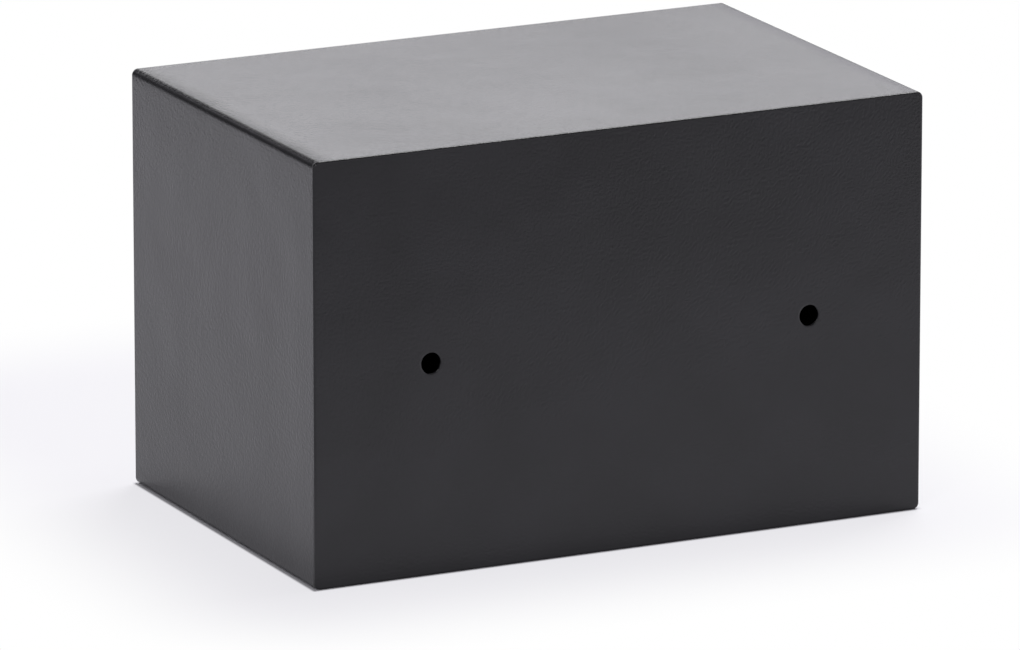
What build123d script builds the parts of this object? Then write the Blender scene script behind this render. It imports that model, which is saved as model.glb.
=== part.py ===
from build123d import *
import os
from math import asin, cos, degrees, radians, sin, tan

os.makedirs("parts", exist_ok=True)

# Millimetres. The door faces -Y, the anchor holes are in the back (+Y), and +Z is up.
# The origin is the middle of the underside. The door is shut and its bolts are drawn back.

# Cabinet
width = 310.0
depth = 200.0
height = 200.0
sheet = 1.5
bend_radius = 3.0
back_edge_round = 0.8
front_edge_round = 0.6
back_hole_spacing = 193.0
back_hole_radius = 5.0
floor_hole_spacing = 150.0
floor_hole_radius = 5.0
mat_thickness = 3.0
mat_margin = 1.5
mat_hole_radius = 6.5

# Door opening and its frame
frame_width = 15.0
frame_sheet = 1.5
jamb_depth = 12.0
jamb_fold_radius = 1.0

# Door and hinge
door_thickness = 3.0
door_gap = 2.0
door_corner_radius = 1.0
door_edge_round = 0.6
hinge_setback = 6.0
swing_clearance = 0.8
hinge_pin_radius = 2.5
hinge_pin_end = 2.0
hinge_block_width = 14.0
hinge_block_height = 28.0
hinge_block_depth = 9.0
hinge_block_bevel = 2.0
bush_wall = 1.6
bush_lip = 1.6
bush_stand = 0.5
end_play = 0.15

# Clearances
running_clearance = 0.06
seat_clearance = 0.03
slide_clearance = 0.3
slot_play = 0.35

# Live bolts and their carriage
bolt_radius = 7.0
bolt_length = 50.0
bolt_centre_distance = 90.0
bolt_bevel = 1.5
bolt_tip_inset = 0.5
bolt_spigot_radius = 4.0
bolt_rivet_radius = 5.5
bolt_rivet_height = 1.5
bolt_jamb_clearance = 0.8
throw = 14.0
carriage_sheet = 2.0
carriage_end = 12.0
flange_reach = 9.0
guide_sheet = 2.0
guide_margin = 1.5
guide_foot = 18.0
guide_corner_radius = 4.0
guide_centre_distance = 76.0
guide_base_radius = 5.0
guide_neck_radius = 3.0
guide_clip_radius = 5.0
guide_clip_thickness = 1.0
guide_tip = 0.8
guide_to_flange = 1.2
slot_edge = 3.5
arm_below = 10.0
arm_above = 20.0

# Knob, spindle and cam
knob_radius = 18.0
knob_height = 25.0
knob_foot_gap = 0.6
knob_recess_radius = 12.0
knob_recess_depth = 2.4
knob_cap_wall = 8.0
knob_bevel = 2.0
knob_flutes = 12
knob_flute_radius = 3.5
knob_mark_width = 2.0
knob_mark_depth = 0.6
spindle_radius = 4.0
spindle_square = 6.0
spindle_rivet_height = 0.6
screw_radius = 2.0
bush_radius = 7.0
spindle_bush_lip = 2.0
spindle_bush_lip_radius = 10.0
nut_thickness = 2.2
nut_across_flats = 19.0
cam_radius = 11.0
cam_thickness = 2.5
cam_hub_radius = 9.0
cam_tip_radius = 5.0
cam_standoff = 0.6
cam_pin_radius = 2.5
cam_pin_shank_radius = 1.8
cam_pin_past_carriage = 2.2

# Blocking solenoid
plunger_radius = 3.0
plunger_travel = 5.0
plunger_gap = 1.0
plunger_backlash = 0.8
plunger_floor_gap = 11.5
plunger_bevel = 2.0
plunger_bore_clearance = 0.25
clip_radius = 6.5
clip_thickness = 1.5
clip_below_tip = 6.0
spring_wire_radius = 0.35
spring_radius = 4.2
spring_turns = 5
spring_room = 7.0
solenoid_width = 14.0
solenoid_floor_gap = 8.5
solenoid_depth = 13.4
solenoid_sheet = 1.4
solenoid_clear = 1.3
solenoid_post_radius = 3.5
solenoid_post_inset = 7.0
bobbin_flange = 1.2
bobbin_flange_radius = 5.2
bobbin_wall = 0.8
winding_radius = 5.0

# Override lock
cylinder_radius = 9.5
cylinder_head_radius = 11.5
cylinder_head = 2.5
plug_radius = 5.5
plug_face_inset = 0.4
plug_square = 6.0
keyway_outer_radius = 3.6
keyway_inner_radius = 2.2
keyway_depth = 4.0
keyway_notch = 1.6
lock_nut_thickness = 3.0
lock_nut_across_flats = 24.0
cam_plate_width = 8.0
cam_plate_hub_radius = 7.0
cam_plate_thickness = 2.0
cam_plate_overlap = 1.0
key_to_plunger = 26.2
key_screw_head_radius = 3.5
key_screw_head = 1.8
escutcheon_floor = 1.2
key_plate_height = 4.4
key_plate_radius = 15.0
key_plate_top_radius = 8.0
key_plate_round = 1.2
key_cover_pivot_rise = 19.0
key_cover_radius = 12.6
key_cover_thickness = 2.0
key_cover_top_radius = 5.5
key_cover_dish = 0.8
cover_screw_head_radius = 3.2
cover_screw_head = 1.4
cover_screw_shank_radius = 1.5
slot_width = 0.8
slot_depth = 0.6

# Reader panel on the door's face
panel_width = 96.0
panel_height = 66.0
panel_depth = 11.0
panel_corner = 12.0
panel_wall = 3.0
panel_round = 2.5
panel_screw_gap = 3.0
panel_boss_radius = 3.6
panel_boss_inset = 9.0
panel_pilot_radius = 1.3
finger_rest_radius = 50.0
finger_rest_depth = 1.8
reader_inset = 34.0
bezel_width = 24.0
bezel_height = 30.0
bezel_corner = 6.0
bezel_rim = 2.4
bezel_proud = 0.6
window_thickness = 1.2
window_inset = 0.5
reader_block_width = 18.0
reader_block_height = 24.0
lens_radius = 2.0
lens_count = 3
lens_pitch = 9.0
lens_inset = 26.0
lens_proud = 0.6
lens_foot_radius = 2.8
lens_foot = 1.0
panel_board_clearance = 0.2
panel_board_inset_z = 13.0
board_thickness = 1.6
panel_board_setback = 3.0
panel_post_radius = 2.5
panel_post_inset_x = 4.2
panel_post_inset_z = 5.0
panel_screw_head_radius = 3.0
panel_screw_head = 2.0
panel_screw_into = 5.0
lead_hole_radius = 6.0
lead_hole_drop = 10.0

# Inner cover
cover_sheet = 1.0
cover_depth = 38.0
cover_bend = 2.5
cover_left_share = 0.27
cover_inset_lock = 20.0
cover_inset_z = 10.0
cover_corner = 4.0
post_radius = 3.5
post_inset = 7.5
cover_screw_radius = 3.5
cover_screw_rise = 1.6

# Circuit board and the button on it
board_left_gap = 14.0
board_width = 80.0
board_height = 50.0
board_top_share = 0.2
board_depth = 21.0
spacer_radius = 3.0
spacer_inset = 4.0
board_screw_radius = 2.6
board_screw_head = 1.5
switch_side = 12.0
switch_height = 7.3
switch_bore_radius = 2.0
switch_bevel = 1.0
button_inset_x = 12.0
button_inset_z = 14.0
button_radius = 3.5
button_round = 0.8
button_stem_radius = 1.7
button_collar_radius = 4.6
button_collar = 0.9
button_hole_clearance = 0.3
button_proud = 2.4
button_travel = 1.5
button_stem_into = 3.0

# Battery holder
cell_radius = 7.1
cell_length = 49.2
cell_nub_radius = 2.75
cell_nub = 1.3
cell_pitch = 14.8
cell_count = 4
contact_room = 3.2
contact_width = 7.0
contact_sheet = 0.4
holder_wall = 1.5
lid_room = 0.5
holder_lip = 3.0
holder_lip_thickness = 1.5
holder_screw_gap = 1.0
holder_low_share = 0.5
holder_clearance = 0.3
lid_thickness = 1.8
lid_gap = 0.3
lid_pivot_drop = 2.0
lid_top_above_pivot = 1.2
lid_pin_radius = 0.8
lid_pin_length = 1.1
lid_grip_width = 16.0
lid_grip_height = 8.0
lid_grip_depth = 0.8

# Plugs on the board, placed from its middle, and the leads inside the door
battery_plug_x = -22.0
panel_plug_x = 0.0
solenoid_plug_x = 24.0
plug_z = -16.0
plug_width = 10.0
plug_height = 6.0
plug_rise = 5.5
lead_radius = 1.2
lead_from_tub = 5.0
lead_straight = 4.0
lead_rise = 10.0
lead_stand = 10.0
lead_past_cylinder = 16.5
lead_before_cylinder = 0.5
lead_under_key = 12.0


def front_plane(y):
    """Sketch plane at depth y that faces the front, with x along +X and y along +Z."""
    return Plane.XZ.offset(-y)


def lead_radii(points):
    """Bend radius at each inner point: 0.45 of the shorter run over tan of half the turn."""
    corners = [Vector(point) for point in points]
    radii = []
    for before, corner, after in zip(corners, corners[1:], corners[2:]):
        run_in = corner - before
        run_out = after - corner
        half_turn = radians(run_in.get_angle(run_out)) / 2
        radii.append(0.45 * min(run_in.length, run_out.length) / tan(half_turn))
    return radii


# Depths, from the face of the door to the back
front_y = -depth / 2
back_y = depth / 2
back_inner_y = back_y - sheet
jamb_back_y = front_y + jamb_depth
door_back_y = front_y + door_thickness
hinge_y = front_y + hinge_setback
bolt_y = jamb_back_y + bolt_jamb_clearance + bolt_radius
carriage_front_y = bolt_y - flange_reach
carriage_back_y = carriage_front_y + carriage_sheet
nut_back_y = door_back_y + nut_thickness
cam_front_y = nut_back_y + cam_standoff
cam_back_y = cam_front_y + cam_thickness
cover_back_y = door_back_y + cover_depth
cover_inner_y = cover_back_y - cover_sheet
plunger_y = bolt_y
cam_plate_front_y = plunger_y + plunger_radius + slide_clearance
cam_plate_back_y = cam_plate_front_y + cam_plate_thickness
cylinder_back_y = cam_plate_front_y - slide_clearance
lug_end_y = cylinder_back_y - slot_play
board_front_y = door_back_y + board_depth
board_back_y = board_front_y + board_thickness

# Heights
mid_z = height / 2
inner_half_width = width / 2 - sheet
opening_half_width = width / 2 - frame_width
opening_bottom = frame_width
opening_top = height - frame_width
opening_height = opening_top - opening_bottom
door_bottom = opening_bottom + door_gap
door_top = opening_top - door_gap
door_height = door_top - door_bottom
cover_bottom = door_bottom + cover_inset_z
cover_top = door_top - cover_inset_z
arm_bottom = mid_z - arm_below
arm_top = mid_z + arm_above
lug_bottom = arm_bottom - plunger_travel - plunger_gap
plunger_top = lug_bottom - plunger_gap
clip_top = plunger_top - clip_below_tip
clip_bottom = clip_top - clip_thickness
solenoid_top = clip_bottom - spring_room
solenoid_bottom = cover_bottom + cover_sheet + solenoid_floor_gap
solenoid_height = solenoid_top - solenoid_bottom
plunger_length = plunger_top - solenoid_bottom - plunger_floor_gap
key_z = clip_top + slide_clearance + cam_plate_width / 2

# Places across the door. The hinge stands in from the door's edge far enough that the
# outer corner swings past the jamb with swing_clearance to spare.
door_left = -opening_half_width + door_gap
door_right = opening_half_width - door_gap
door_width = door_right - door_left
swing_room = door_gap - swing_clearance
hinge_inset = (hinge_setback**2 - swing_room**2) / (2 * swing_room)
hinge_x = door_left + hinge_inset
bolt_tip_x = door_right - bolt_tip_inset
flange_front_x = bolt_tip_x - bolt_length
flange_back_x = flange_front_x - carriage_sheet
guide_wall_x = flange_front_x + throw + guide_margin
guide_x = flange_back_x - guide_clip_radius - guide_to_flange
bar_left_x = guide_x - throw - guide_neck_radius - slot_play - slot_edge
knob_x = bar_left_x
plunger_x = bar_left_x - solenoid_clear - solenoid_width / 2
arm_left_x = plunger_x + plunger_radius + plunger_backlash - throw
key_x = plunger_x - key_to_plunger
panel_past_cover = panel_boss_inset - cover_sheet - panel_screw_head_radius - panel_screw_gap
hinge_block_right = hinge_x + hinge_block_width / 2
face_room = key_x - key_plate_radius - hinge_block_right
cover_left = hinge_block_right + cover_left_share * (face_room + panel_past_cover - panel_width)
panel_x = cover_left - panel_past_cover + panel_width / 2
cover_right = door_right - cover_inset_lock

# The cam pin swings evenly to both sides of straight up, so the carriage moves by the throw.
cam_half_angle = degrees(asin(throw / 2 / cam_radius))
cam_pin_x = knob_x - cam_radius * sin(radians(cam_half_angle))
cam_pin_z = mid_z + cam_radius * cos(radians(cam_half_angle))
cam_slot_width = 2 * (cam_pin_radius + slot_play)
cam_slot_bottom = cam_pin_z - cam_pin_radius - slot_play
cam_slot_top = mid_z + cam_radius + cam_pin_radius + slot_play

panel_boss_distance = panel_width - 2 * panel_boss_inset
bolt_heights = (mid_z - bolt_centre_distance / 2, mid_z + bolt_centre_distance / 2)
guide_heights = (mid_z - guide_centre_distance / 2, mid_z + guide_centre_distance / 2)

# Body shell: one folded wrap, open at the front and the back
with BuildPart() as body_shell:
    with BuildSketch(front_plane(back_inner_y)):
        with Locations((0, mid_z)):
            RectangleRounded(width, height, bend_radius)
            RectangleRounded(
                width - 2 * sheet, height - 2 * sheet, bend_radius - sheet, mode=Mode.SUBTRACT
            )
    extrude(amount=depth - sheet)
    with BuildSketch(Plane.XY):
        with GridLocations(floor_hole_spacing, 0, 2, 1):
            Circle(floor_hole_radius)
    extrude(amount=sheet, mode=Mode.SUBTRACT)
    fillet(body_shell.faces().sort_by(Axis.Y)[0].outer_wire().edges(), radius=front_edge_round)
body_shell.part.label = "body_shell"
export_step(body_shell.part, "parts/body_shell.step")

# Back panel: a flat plate welded on the wrap's rear edge, with the two wall anchor holes
with BuildPart() as back_panel:
    with BuildSketch(front_plane(back_y)):
        with Locations((0, mid_z)):
            RectangleRounded(width, height, bend_radius)
            with GridLocations(back_hole_spacing, 0, 2, 1):
                Circle(back_hole_radius, mode=Mode.SUBTRACT)
    extrude(amount=sheet)
    fillet(back_panel.faces().sort_by(Axis.Y)[-1].outer_wire().edges(), radius=back_edge_round)
back_panel.part.label = "back_panel"
export_step(back_panel.part, "parts/back_panel.step")

# Front frame: a face flange round the opening, folded back into four jambs
bush_barrel_radius = hinge_pin_radius + running_clearance + bush_wall
with BuildPart() as front_frame:
    with BuildSketch(front_plane(front_y + frame_sheet)):
        with Locations((0, mid_z)):
            RectangleRounded(width - 2 * sheet, height - 2 * sheet, bend_radius - sheet)
            Rectangle(2 * opening_half_width, opening_height, mode=Mode.SUBTRACT)
    extrude(amount=frame_sheet)
    with BuildSketch(front_plane(jamb_back_y)):
        with Locations((0, mid_z)):
            Rectangle(2 * (opening_half_width + frame_sheet), opening_height + 2 * frame_sheet)
            Rectangle(2 * opening_half_width, opening_height, mode=Mode.SUBTRACT)
    extrude(amount=jamb_depth)
    with BuildSketch(Plane.XY):
        with Locations((hinge_x, hinge_y)):
            Circle(bush_barrel_radius + seat_clearance)
    extrude(amount=height, mode=Mode.SUBTRACT)
    fillet(front_frame.faces().sort_by(Axis.Y)[0].inner_wires().edges(), radius=jamb_fold_radius)
front_frame.part.label = "front_frame"
export_step(front_frame.part, "parts/front_frame.step")

# Hinge bushes: one in the lower and one in the upper jamb, each with a lip that spaces the door
with BuildPart() as hinge_bushes:
    for jamb_z, outwards in ((opening_bottom, -1), (opening_top, 1)):
        with BuildSketch(Plane.XY.offset(jamb_z)):
            with Locations((hinge_x, hinge_y)):
                Circle(bush_barrel_radius + bush_lip)
                Circle(hinge_pin_radius + running_clearance, mode=Mode.SUBTRACT)
        extrude(amount=-outwards * (door_gap - end_play))
        with BuildSketch(Plane.XY.offset(jamb_z)):
            with Locations((hinge_x, hinge_y)):
                Circle(bush_barrel_radius)
                Circle(hinge_pin_radius + running_clearance, mode=Mode.SUBTRACT)
        extrude(amount=outwards * (frame_sheet + bush_stand))
hinge_bushes.part.label = "hinge_bushes"
export_step(hinge_bushes.part, "parts/hinge_bushes.step")

# Floor mat: a felt sheet with clearance holes over the floor anchor holes
mat_front_y = jamb_back_y + mat_margin
mat_back_y = back_inner_y - mat_margin
with BuildPart() as floor_mat:
    with BuildSketch(Plane.XY.offset(sheet)):
        with Locations((0, (mat_front_y + mat_back_y) / 2)):
            RectangleRounded(
                2 * (inner_half_width - mat_margin), mat_back_y - mat_front_y, bend_radius
            )
        with GridLocations(floor_hole_spacing, 0, 2, 1):
            Circle(mat_hole_radius, mode=Mode.SUBTRACT)
    extrude(amount=mat_thickness)
floor_mat.part.label = "floor_mat"
export_step(floor_mat.part, "parts/floor_mat.step")

# Door plate: flush in the frame, with holes for the knob bush, the lock, the lead and the panel screws
with BuildPart() as door_plate:
    with BuildSketch(front_plane(door_back_y)):
        with Locations((0, mid_z)):
            RectangleRounded(door_width, door_height, door_corner_radius)
        with Locations((knob_x, mid_z)):
            Circle(bush_radius + seat_clearance, mode=Mode.SUBTRACT)
        with Locations((key_x, key_z)):
            Circle(cylinder_radius + seat_clearance, mode=Mode.SUBTRACT)
        with Locations((panel_x, mid_z - lead_hole_drop)):
            Circle(lead_hole_radius, mode=Mode.SUBTRACT)
        with Locations((panel_x, mid_z)):
            with GridLocations(panel_boss_distance, 0, 2, 1):
                Circle(screw_radius + seat_clearance, mode=Mode.SUBTRACT)
    extrude(amount=door_thickness)
    fillet(door_plate.faces().sort_by(Axis.Y)[0].outer_wire().edges(), radius=door_edge_round)
door_plate.part.label = "door_plate"
export_step(door_plate.part, "parts/door_plate.step")

# Hinge blocks and pins: welded behind the door's hinge edge, one at each end
pin_in_block = hinge_block_height - hinge_pin_radius
with BuildPart() as hinge_blocks:
    for end_z, outwards in ((door_bottom, -1), (door_top, 1)):
        with BuildSketch(Plane.XY.offset(end_z)):
            with Locations((hinge_x, door_back_y + hinge_block_depth / 2)):
                Rectangle(hinge_block_width, hinge_block_depth)
        extrude(amount=-outwards * hinge_block_height)
        with BuildSketch(Plane.XY.offset(end_z)):
            with Locations((hinge_x, hinge_y)):
                Circle(hinge_pin_radius + seat_clearance)
        extrude(amount=-outwards * pin_in_block, mode=Mode.SUBTRACT)
    chamfer(hinge_blocks.faces().sort_by(Axis.Y)[-2:].edges().filter_by(Axis.Z), length=hinge_block_bevel)
hinge_blocks.part.label = "hinge_blocks"
export_step(hinge_blocks.part, "parts/hinge_blocks.step")

pin_past_door = door_gap + frame_sheet + bush_stand + hinge_pin_end
with BuildPart() as hinge_pins:
    for end_z, outwards in ((door_bottom, -1), (door_top, 1)):
        with BuildSketch(Plane.XY.offset(end_z - outwards * pin_in_block)):
            with Locations((hinge_x, hinge_y)):
                Circle(hinge_pin_radius)
        extrude(amount=outwards * (pin_in_block + pin_past_door))
    chamfer(hinge_pins.edges().filter_by(GeomType.CIRCLE).sort_by(Axis.Z)[0], length=hinge_pin_radius / 3)
    chamfer(hinge_pins.edges().filter_by(GeomType.CIRCLE).sort_by(Axis.Z)[-1], length=hinge_pin_radius / 3)
hinge_pins.part.label = "hinge_pins"
export_step(hinge_pins.part, "parts/hinge_pins.step")

# Bolt guide: an angle welded on the door, whose upright wall holds both bolts square
with BuildPart() as bolt_guide:
    with BuildSketch(front_plane(door_back_y + guide_sheet)):
        with Locations((guide_wall_x + guide_sheet - guide_foot / 2, mid_z)):
            Rectangle(guide_foot, bolt_centre_distance + 2 * carriage_end)
    extrude(amount=guide_sheet)
    with BuildSketch(Plane.YZ.offset(guide_wall_x)):
        with Locations(((door_back_y + bolt_y + flange_reach) / 2, mid_z)):
            Rectangle(bolt_y + flange_reach - door_back_y, bolt_centre_distance + 2 * carriage_end)
        with Locations((bolt_y, bolt_heights[0]), (bolt_y, bolt_heights[1])):
            Circle(bolt_radius + slide_clearance, mode=Mode.SUBTRACT)
    extrude(amount=guide_sheet)
    fillet(bolt_guide.faces().sort_by(Axis.Y)[-1].edges().filter_by(Axis.X), radius=guide_corner_radius)
bolt_guide.part.label = "bolt_guide"
export_step(bolt_guide.part, "parts/bolt_guide.step")

# Bolt carriage: a flat plate with a bar that joins both bolts, an arm with the cam slot,
# a flange that the bolts are riveted in, and a lug that the plunger blocks
carriage_half = bolt_centre_distance / 2 + carriage_end
guide_slot_length = throw + 2 * (guide_neck_radius + slot_play)
guide_slot_x = guide_x - throw / 2
with BuildPart() as bolt_carriage:
    with BuildSketch(front_plane(carriage_back_y)):
        with Locations(((bar_left_x + flange_front_x) / 2, mid_z)):
            Rectangle(flange_front_x - bar_left_x, 2 * carriage_half)
        with Locations(((arm_left_x + flange_front_x) / 2, (arm_bottom + arm_top) / 2)):
            Rectangle(flange_front_x - arm_left_x, arm_top - arm_bottom)
        with Locations((guide_slot_x, guide_heights[0]), (guide_slot_x, guide_heights[1])):
            SlotOverall(guide_slot_length, 2 * (guide_neck_radius + slot_play), mode=Mode.SUBTRACT)
        with Locations((cam_pin_x, (cam_slot_bottom + cam_slot_top) / 2)):
            SlotOverall(
                cam_slot_top - cam_slot_bottom, cam_slot_width, rotation=90, mode=Mode.SUBTRACT
            )
    extrude(amount=carriage_sheet)
    with BuildSketch(Plane.YZ.offset(flange_back_x)):
        with Locations((bolt_y, mid_z)):
            Rectangle(2 * flange_reach, 2 * carriage_half)
        with Locations((bolt_y, bolt_heights[0]), (bolt_y, bolt_heights[1])):
            Circle(bolt_spigot_radius, mode=Mode.SUBTRACT)
        with Locations((bolt_y + flange_reach / 2, mid_z)):
            Rectangle(flange_reach, bolt_centre_distance - 2 * carriage_end, mode=Mode.SUBTRACT)
    extrude(amount=carriage_sheet)
    with BuildSketch(Plane.YZ.offset(arm_left_x)):
        with Locations(((carriage_front_y + lug_end_y) / 2, (lug_bottom + mid_z) / 2)):
            Rectangle(lug_end_y - carriage_front_y, mid_z - lug_bottom)
    extrude(amount=carriage_sheet)
bolt_carriage.part.label = "bolt_carriage"
export_step(bolt_carriage.part, "parts/bolt_carriage.step")


def live_bolt(z):
    """A solid round bolt with a bevelled nose, riveted through the carriage's flange."""
    with BuildPart() as bolt:
        with BuildSketch(Plane.YZ.offset(flange_front_x)):
            with Locations((bolt_y, z)):
                Circle(bolt_radius)
        extrude(amount=bolt_length)
        chamfer(bolt.faces().sort_by(Axis.X)[-1].edges(), length=bolt_bevel)
        with BuildSketch(Plane.YZ.offset(flange_front_x)):
            with Locations((bolt_y, z)):
                Circle(bolt_spigot_radius)
        extrude(amount=-carriage_sheet)
        with BuildSketch(Plane.YZ.offset(flange_back_x)):
            with Locations((bolt_y, z)):
                Circle(bolt_rivet_radius)
        extrude(amount=-bolt_rivet_height)
    return bolt.part


live_bolt_lower = live_bolt(bolt_heights[0])
live_bolt_lower.label = "live_bolt_lower"
export_step(live_bolt_lower, "parts/live_bolt_lower.step")

live_bolt_upper = live_bolt(bolt_heights[1])
live_bolt_upper.label = "live_bolt_upper"
export_step(live_bolt_upper, "parts/live_bolt_upper.step")

# Guide studs welded on the door and the clips that keep the carriage on them
guide_shoulder_y = carriage_front_y - slide_clearance
guide_clip_y = carriage_back_y + slide_clearance
with BuildPart() as guide_studs:
    for z in guide_heights:
        with BuildSketch(front_plane(guide_shoulder_y)):
            with Locations((guide_x, z)):
                Circle(guide_base_radius)
        extrude(amount=guide_shoulder_y - door_back_y)
        with BuildSketch(front_plane(guide_clip_y + guide_clip_thickness + guide_tip)):
            with Locations((guide_x, z)):
                Circle(guide_neck_radius)
        extrude(amount=guide_clip_y + guide_clip_thickness + guide_tip - guide_shoulder_y)
guide_studs.part.label = "guide_studs"
export_step(guide_studs.part, "parts/guide_studs.step")

with BuildPart() as guide_clips:
    with BuildSketch(front_plane(guide_clip_y + guide_clip_thickness)):
        with Locations((guide_x, guide_heights[0]), (guide_x, guide_heights[1])):
            Circle(guide_clip_radius)
            Circle(guide_neck_radius + seat_clearance, mode=Mode.SUBTRACT)
    extrude(amount=guide_clip_thickness)
guide_clips.part.label = "guide_clips"
export_step(guide_clips.part, "parts/guide_clips.step")

# Spindle bush: a threaded bush through the door plate, held by a thin nut behind it
with BuildPart() as spindle_bush:
    with BuildSketch(front_plane(nut_back_y)):
        with Locations((knob_x, mid_z)):
            Circle(bush_radius)
            Circle(spindle_radius + running_clearance, mode=Mode.SUBTRACT)
    extrude(amount=nut_back_y - front_y)
    with BuildSketch(front_plane(front_y)):
        with Locations((knob_x, mid_z)):
            Circle(spindle_bush_lip_radius)
            Circle(spindle_radius + running_clearance, mode=Mode.SUBTRACT)
    extrude(amount=spindle_bush_lip)
spindle_bush.part.label = "spindle_bush"
export_step(spindle_bush.part, "parts/spindle_bush.step")

with BuildPart() as spindle_nut:
    with BuildSketch(front_plane(nut_back_y)):
        with Locations((knob_x, mid_z)):
            RegularPolygon(nut_across_flats / 2, 6, major_radius=False)
            Circle(bush_radius + seat_clearance, mode=Mode.SUBTRACT)
    extrude(amount=nut_thickness)
spindle_nut.part.label = "spindle_nut"
export_step(spindle_nut.part, "parts/spindle_nut.step")

# Knob: a fluted grip with a pointer groove, recessed underneath over the bush
knob_foot_y = front_y - knob_foot_gap
knob_face_y = knob_foot_y - knob_height
spindle_front_y = knob_face_y + knob_cap_wall
with BuildPart() as knob:
    with BuildSketch(front_plane(knob_foot_y)):
        with Locations((knob_x, mid_z)):
            Circle(knob_radius)
    extrude(amount=knob_height)
    chamfer(knob.faces().sort_by(Axis.Y)[0].edges(), length=knob_bevel)
    with BuildSketch(front_plane(knob_foot_y - knob_height / 3)):
        with Locations((knob_x, mid_z)):
            with PolarLocations(knob_radius + knob_flute_radius / 2, knob_flutes, start_angle=15):
                Circle(knob_flute_radius)
    extrude(amount=knob_height, mode=Mode.SUBTRACT)
    with BuildSketch(front_plane(knob_foot_y)):
        with Locations((knob_x, mid_z)):
            Circle(knob_recess_radius)
    extrude(amount=knob_recess_depth, mode=Mode.SUBTRACT)
    with BuildSketch(front_plane(knob_foot_y)):
        with Locations((knob_x, mid_z)):
            Circle(spindle_radius)
    extrude(amount=knob_foot_y - spindle_front_y, mode=Mode.SUBTRACT)
    with BuildSketch(front_plane(knob_face_y + knob_mark_depth)):
        with Locations((knob_x, mid_z + knob_radius / 2)):
            Rectangle(knob_mark_width, knob_radius)
    extrude(amount=knob_mark_depth, mode=Mode.SUBTRACT)
    with BuildSketch(Plane.XY.offset(mid_z - knob_radius)):
        with Locations((knob_x, knob_foot_y - knob_height / 2)):
            Circle(screw_radius)
    extrude(amount=knob_radius - spindle_radius / 2, mode=Mode.SUBTRACT)
knob.part.label = "knob"
export_step(knob.part, "parts/knob.step")

with BuildPart() as knob_set_screw:
    with BuildSketch(Plane.XY.offset(mid_z - knob_radius + knob_flute_radius)):
        with Locations((knob_x, knob_foot_y - knob_height / 2)):
            Circle(screw_radius)
            RegularPolygon(screw_radius / 2, 6, mode=Mode.SUBTRACT)
    extrude(amount=screw_radius)
    with BuildSketch(Plane.XY.offset(mid_z - knob_radius + knob_flute_radius + screw_radius)):
        with Locations((knob_x, knob_foot_y - knob_height / 2)):
            Circle(screw_radius)
    extrude(amount=knob_radius - knob_flute_radius - screw_radius - spindle_radius)
knob_set_screw.part.label = "knob_set_screw"
export_step(knob_set_screw.part, "parts/knob_set_screw.step")

# Spindle: round through the bush, square in the cam, and riveted over it
with BuildPart() as knob_spindle:
    with BuildSketch(front_plane(cam_front_y)):
        with Locations((knob_x, mid_z)):
            Circle(spindle_radius)
    extrude(amount=cam_front_y - spindle_front_y)
    with BuildSketch(front_plane(cam_back_y)):
        with Locations((knob_x, mid_z)):
            Rectangle(spindle_square, spindle_square)
    extrude(amount=cam_thickness)
    with BuildSketch(front_plane(cam_back_y + spindle_rivet_height)):
        with Locations((knob_x, mid_z)):
            Circle(spindle_radius + spindle_rivet_height)
    extrude(amount=spindle_rivet_height)
knob_spindle.part.label = "knob_spindle"
export_step(knob_spindle.part, "parts/knob_spindle.step")

# Cam arm and its pin: a tapered lever whose riveted pin drives the carriage's slot
with BuildPart() as cam_arm:
    with BuildSketch(front_plane(cam_back_y)):
        with BuildLine():
            CenterArc((knob_x, mid_z), cam_hub_radius, 0, 360)
            CenterArc((cam_pin_x, cam_pin_z), cam_tip_radius, 0, 360)
        make_hull()
        with Locations((knob_x, mid_z)):
            Rectangle(spindle_square, spindle_square, mode=Mode.SUBTRACT)
        with Locations((cam_pin_x, cam_pin_z)):
            Circle(cam_pin_shank_radius, mode=Mode.SUBTRACT)
    extrude(amount=cam_thickness)
cam_arm.part.label = "cam_arm"
export_step(cam_arm.part, "parts/cam_arm.step")

cam_pin_end_y = carriage_back_y + cam_pin_past_carriage
with BuildPart() as cam_pin:
    with BuildSketch(front_plane(cam_back_y)):
        with Locations((cam_pin_x, cam_pin_z)):
            Circle(cam_pin_shank_radius)
    extrude(amount=cam_thickness)
    with BuildSketch(front_plane(cam_pin_end_y)):
        with Locations((cam_pin_x, cam_pin_z)):
            Circle(cam_pin_radius)
    extrude(amount=cam_pin_end_y - cam_back_y)
cam_pin.part.label = "cam_pin"
export_step(cam_pin.part, "parts/cam_pin.step")

# Solenoid: an open frame on two posts, with its bobbin and winding
solenoid_front_y = plunger_y - solenoid_depth / 2
solenoid_mid_z = (solenoid_bottom + solenoid_top) / 2
plunger_bore_radius = plunger_radius + plunger_bore_clearance
with BuildPart() as solenoid_frame:
    with BuildSketch(Plane.YZ.offset(plunger_x - solenoid_width / 2)):
        with Locations((plunger_y, solenoid_mid_z)):
            Rectangle(solenoid_depth, solenoid_height)
        with Locations((plunger_y + solenoid_sheet / 2, solenoid_mid_z)):
            Rectangle(
                solenoid_depth - solenoid_sheet,
                solenoid_height - 2 * solenoid_sheet,
                mode=Mode.SUBTRACT,
            )
    extrude(amount=solenoid_width)
    with BuildSketch(Plane.XY.offset(solenoid_bottom)):
        with Locations((plunger_x, plunger_y)):
            Circle(plunger_bore_radius)
    extrude(amount=solenoid_height, mode=Mode.SUBTRACT)
solenoid_frame.part.label = "solenoid_frame"
export_step(solenoid_frame.part, "parts/solenoid_frame.step")

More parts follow.
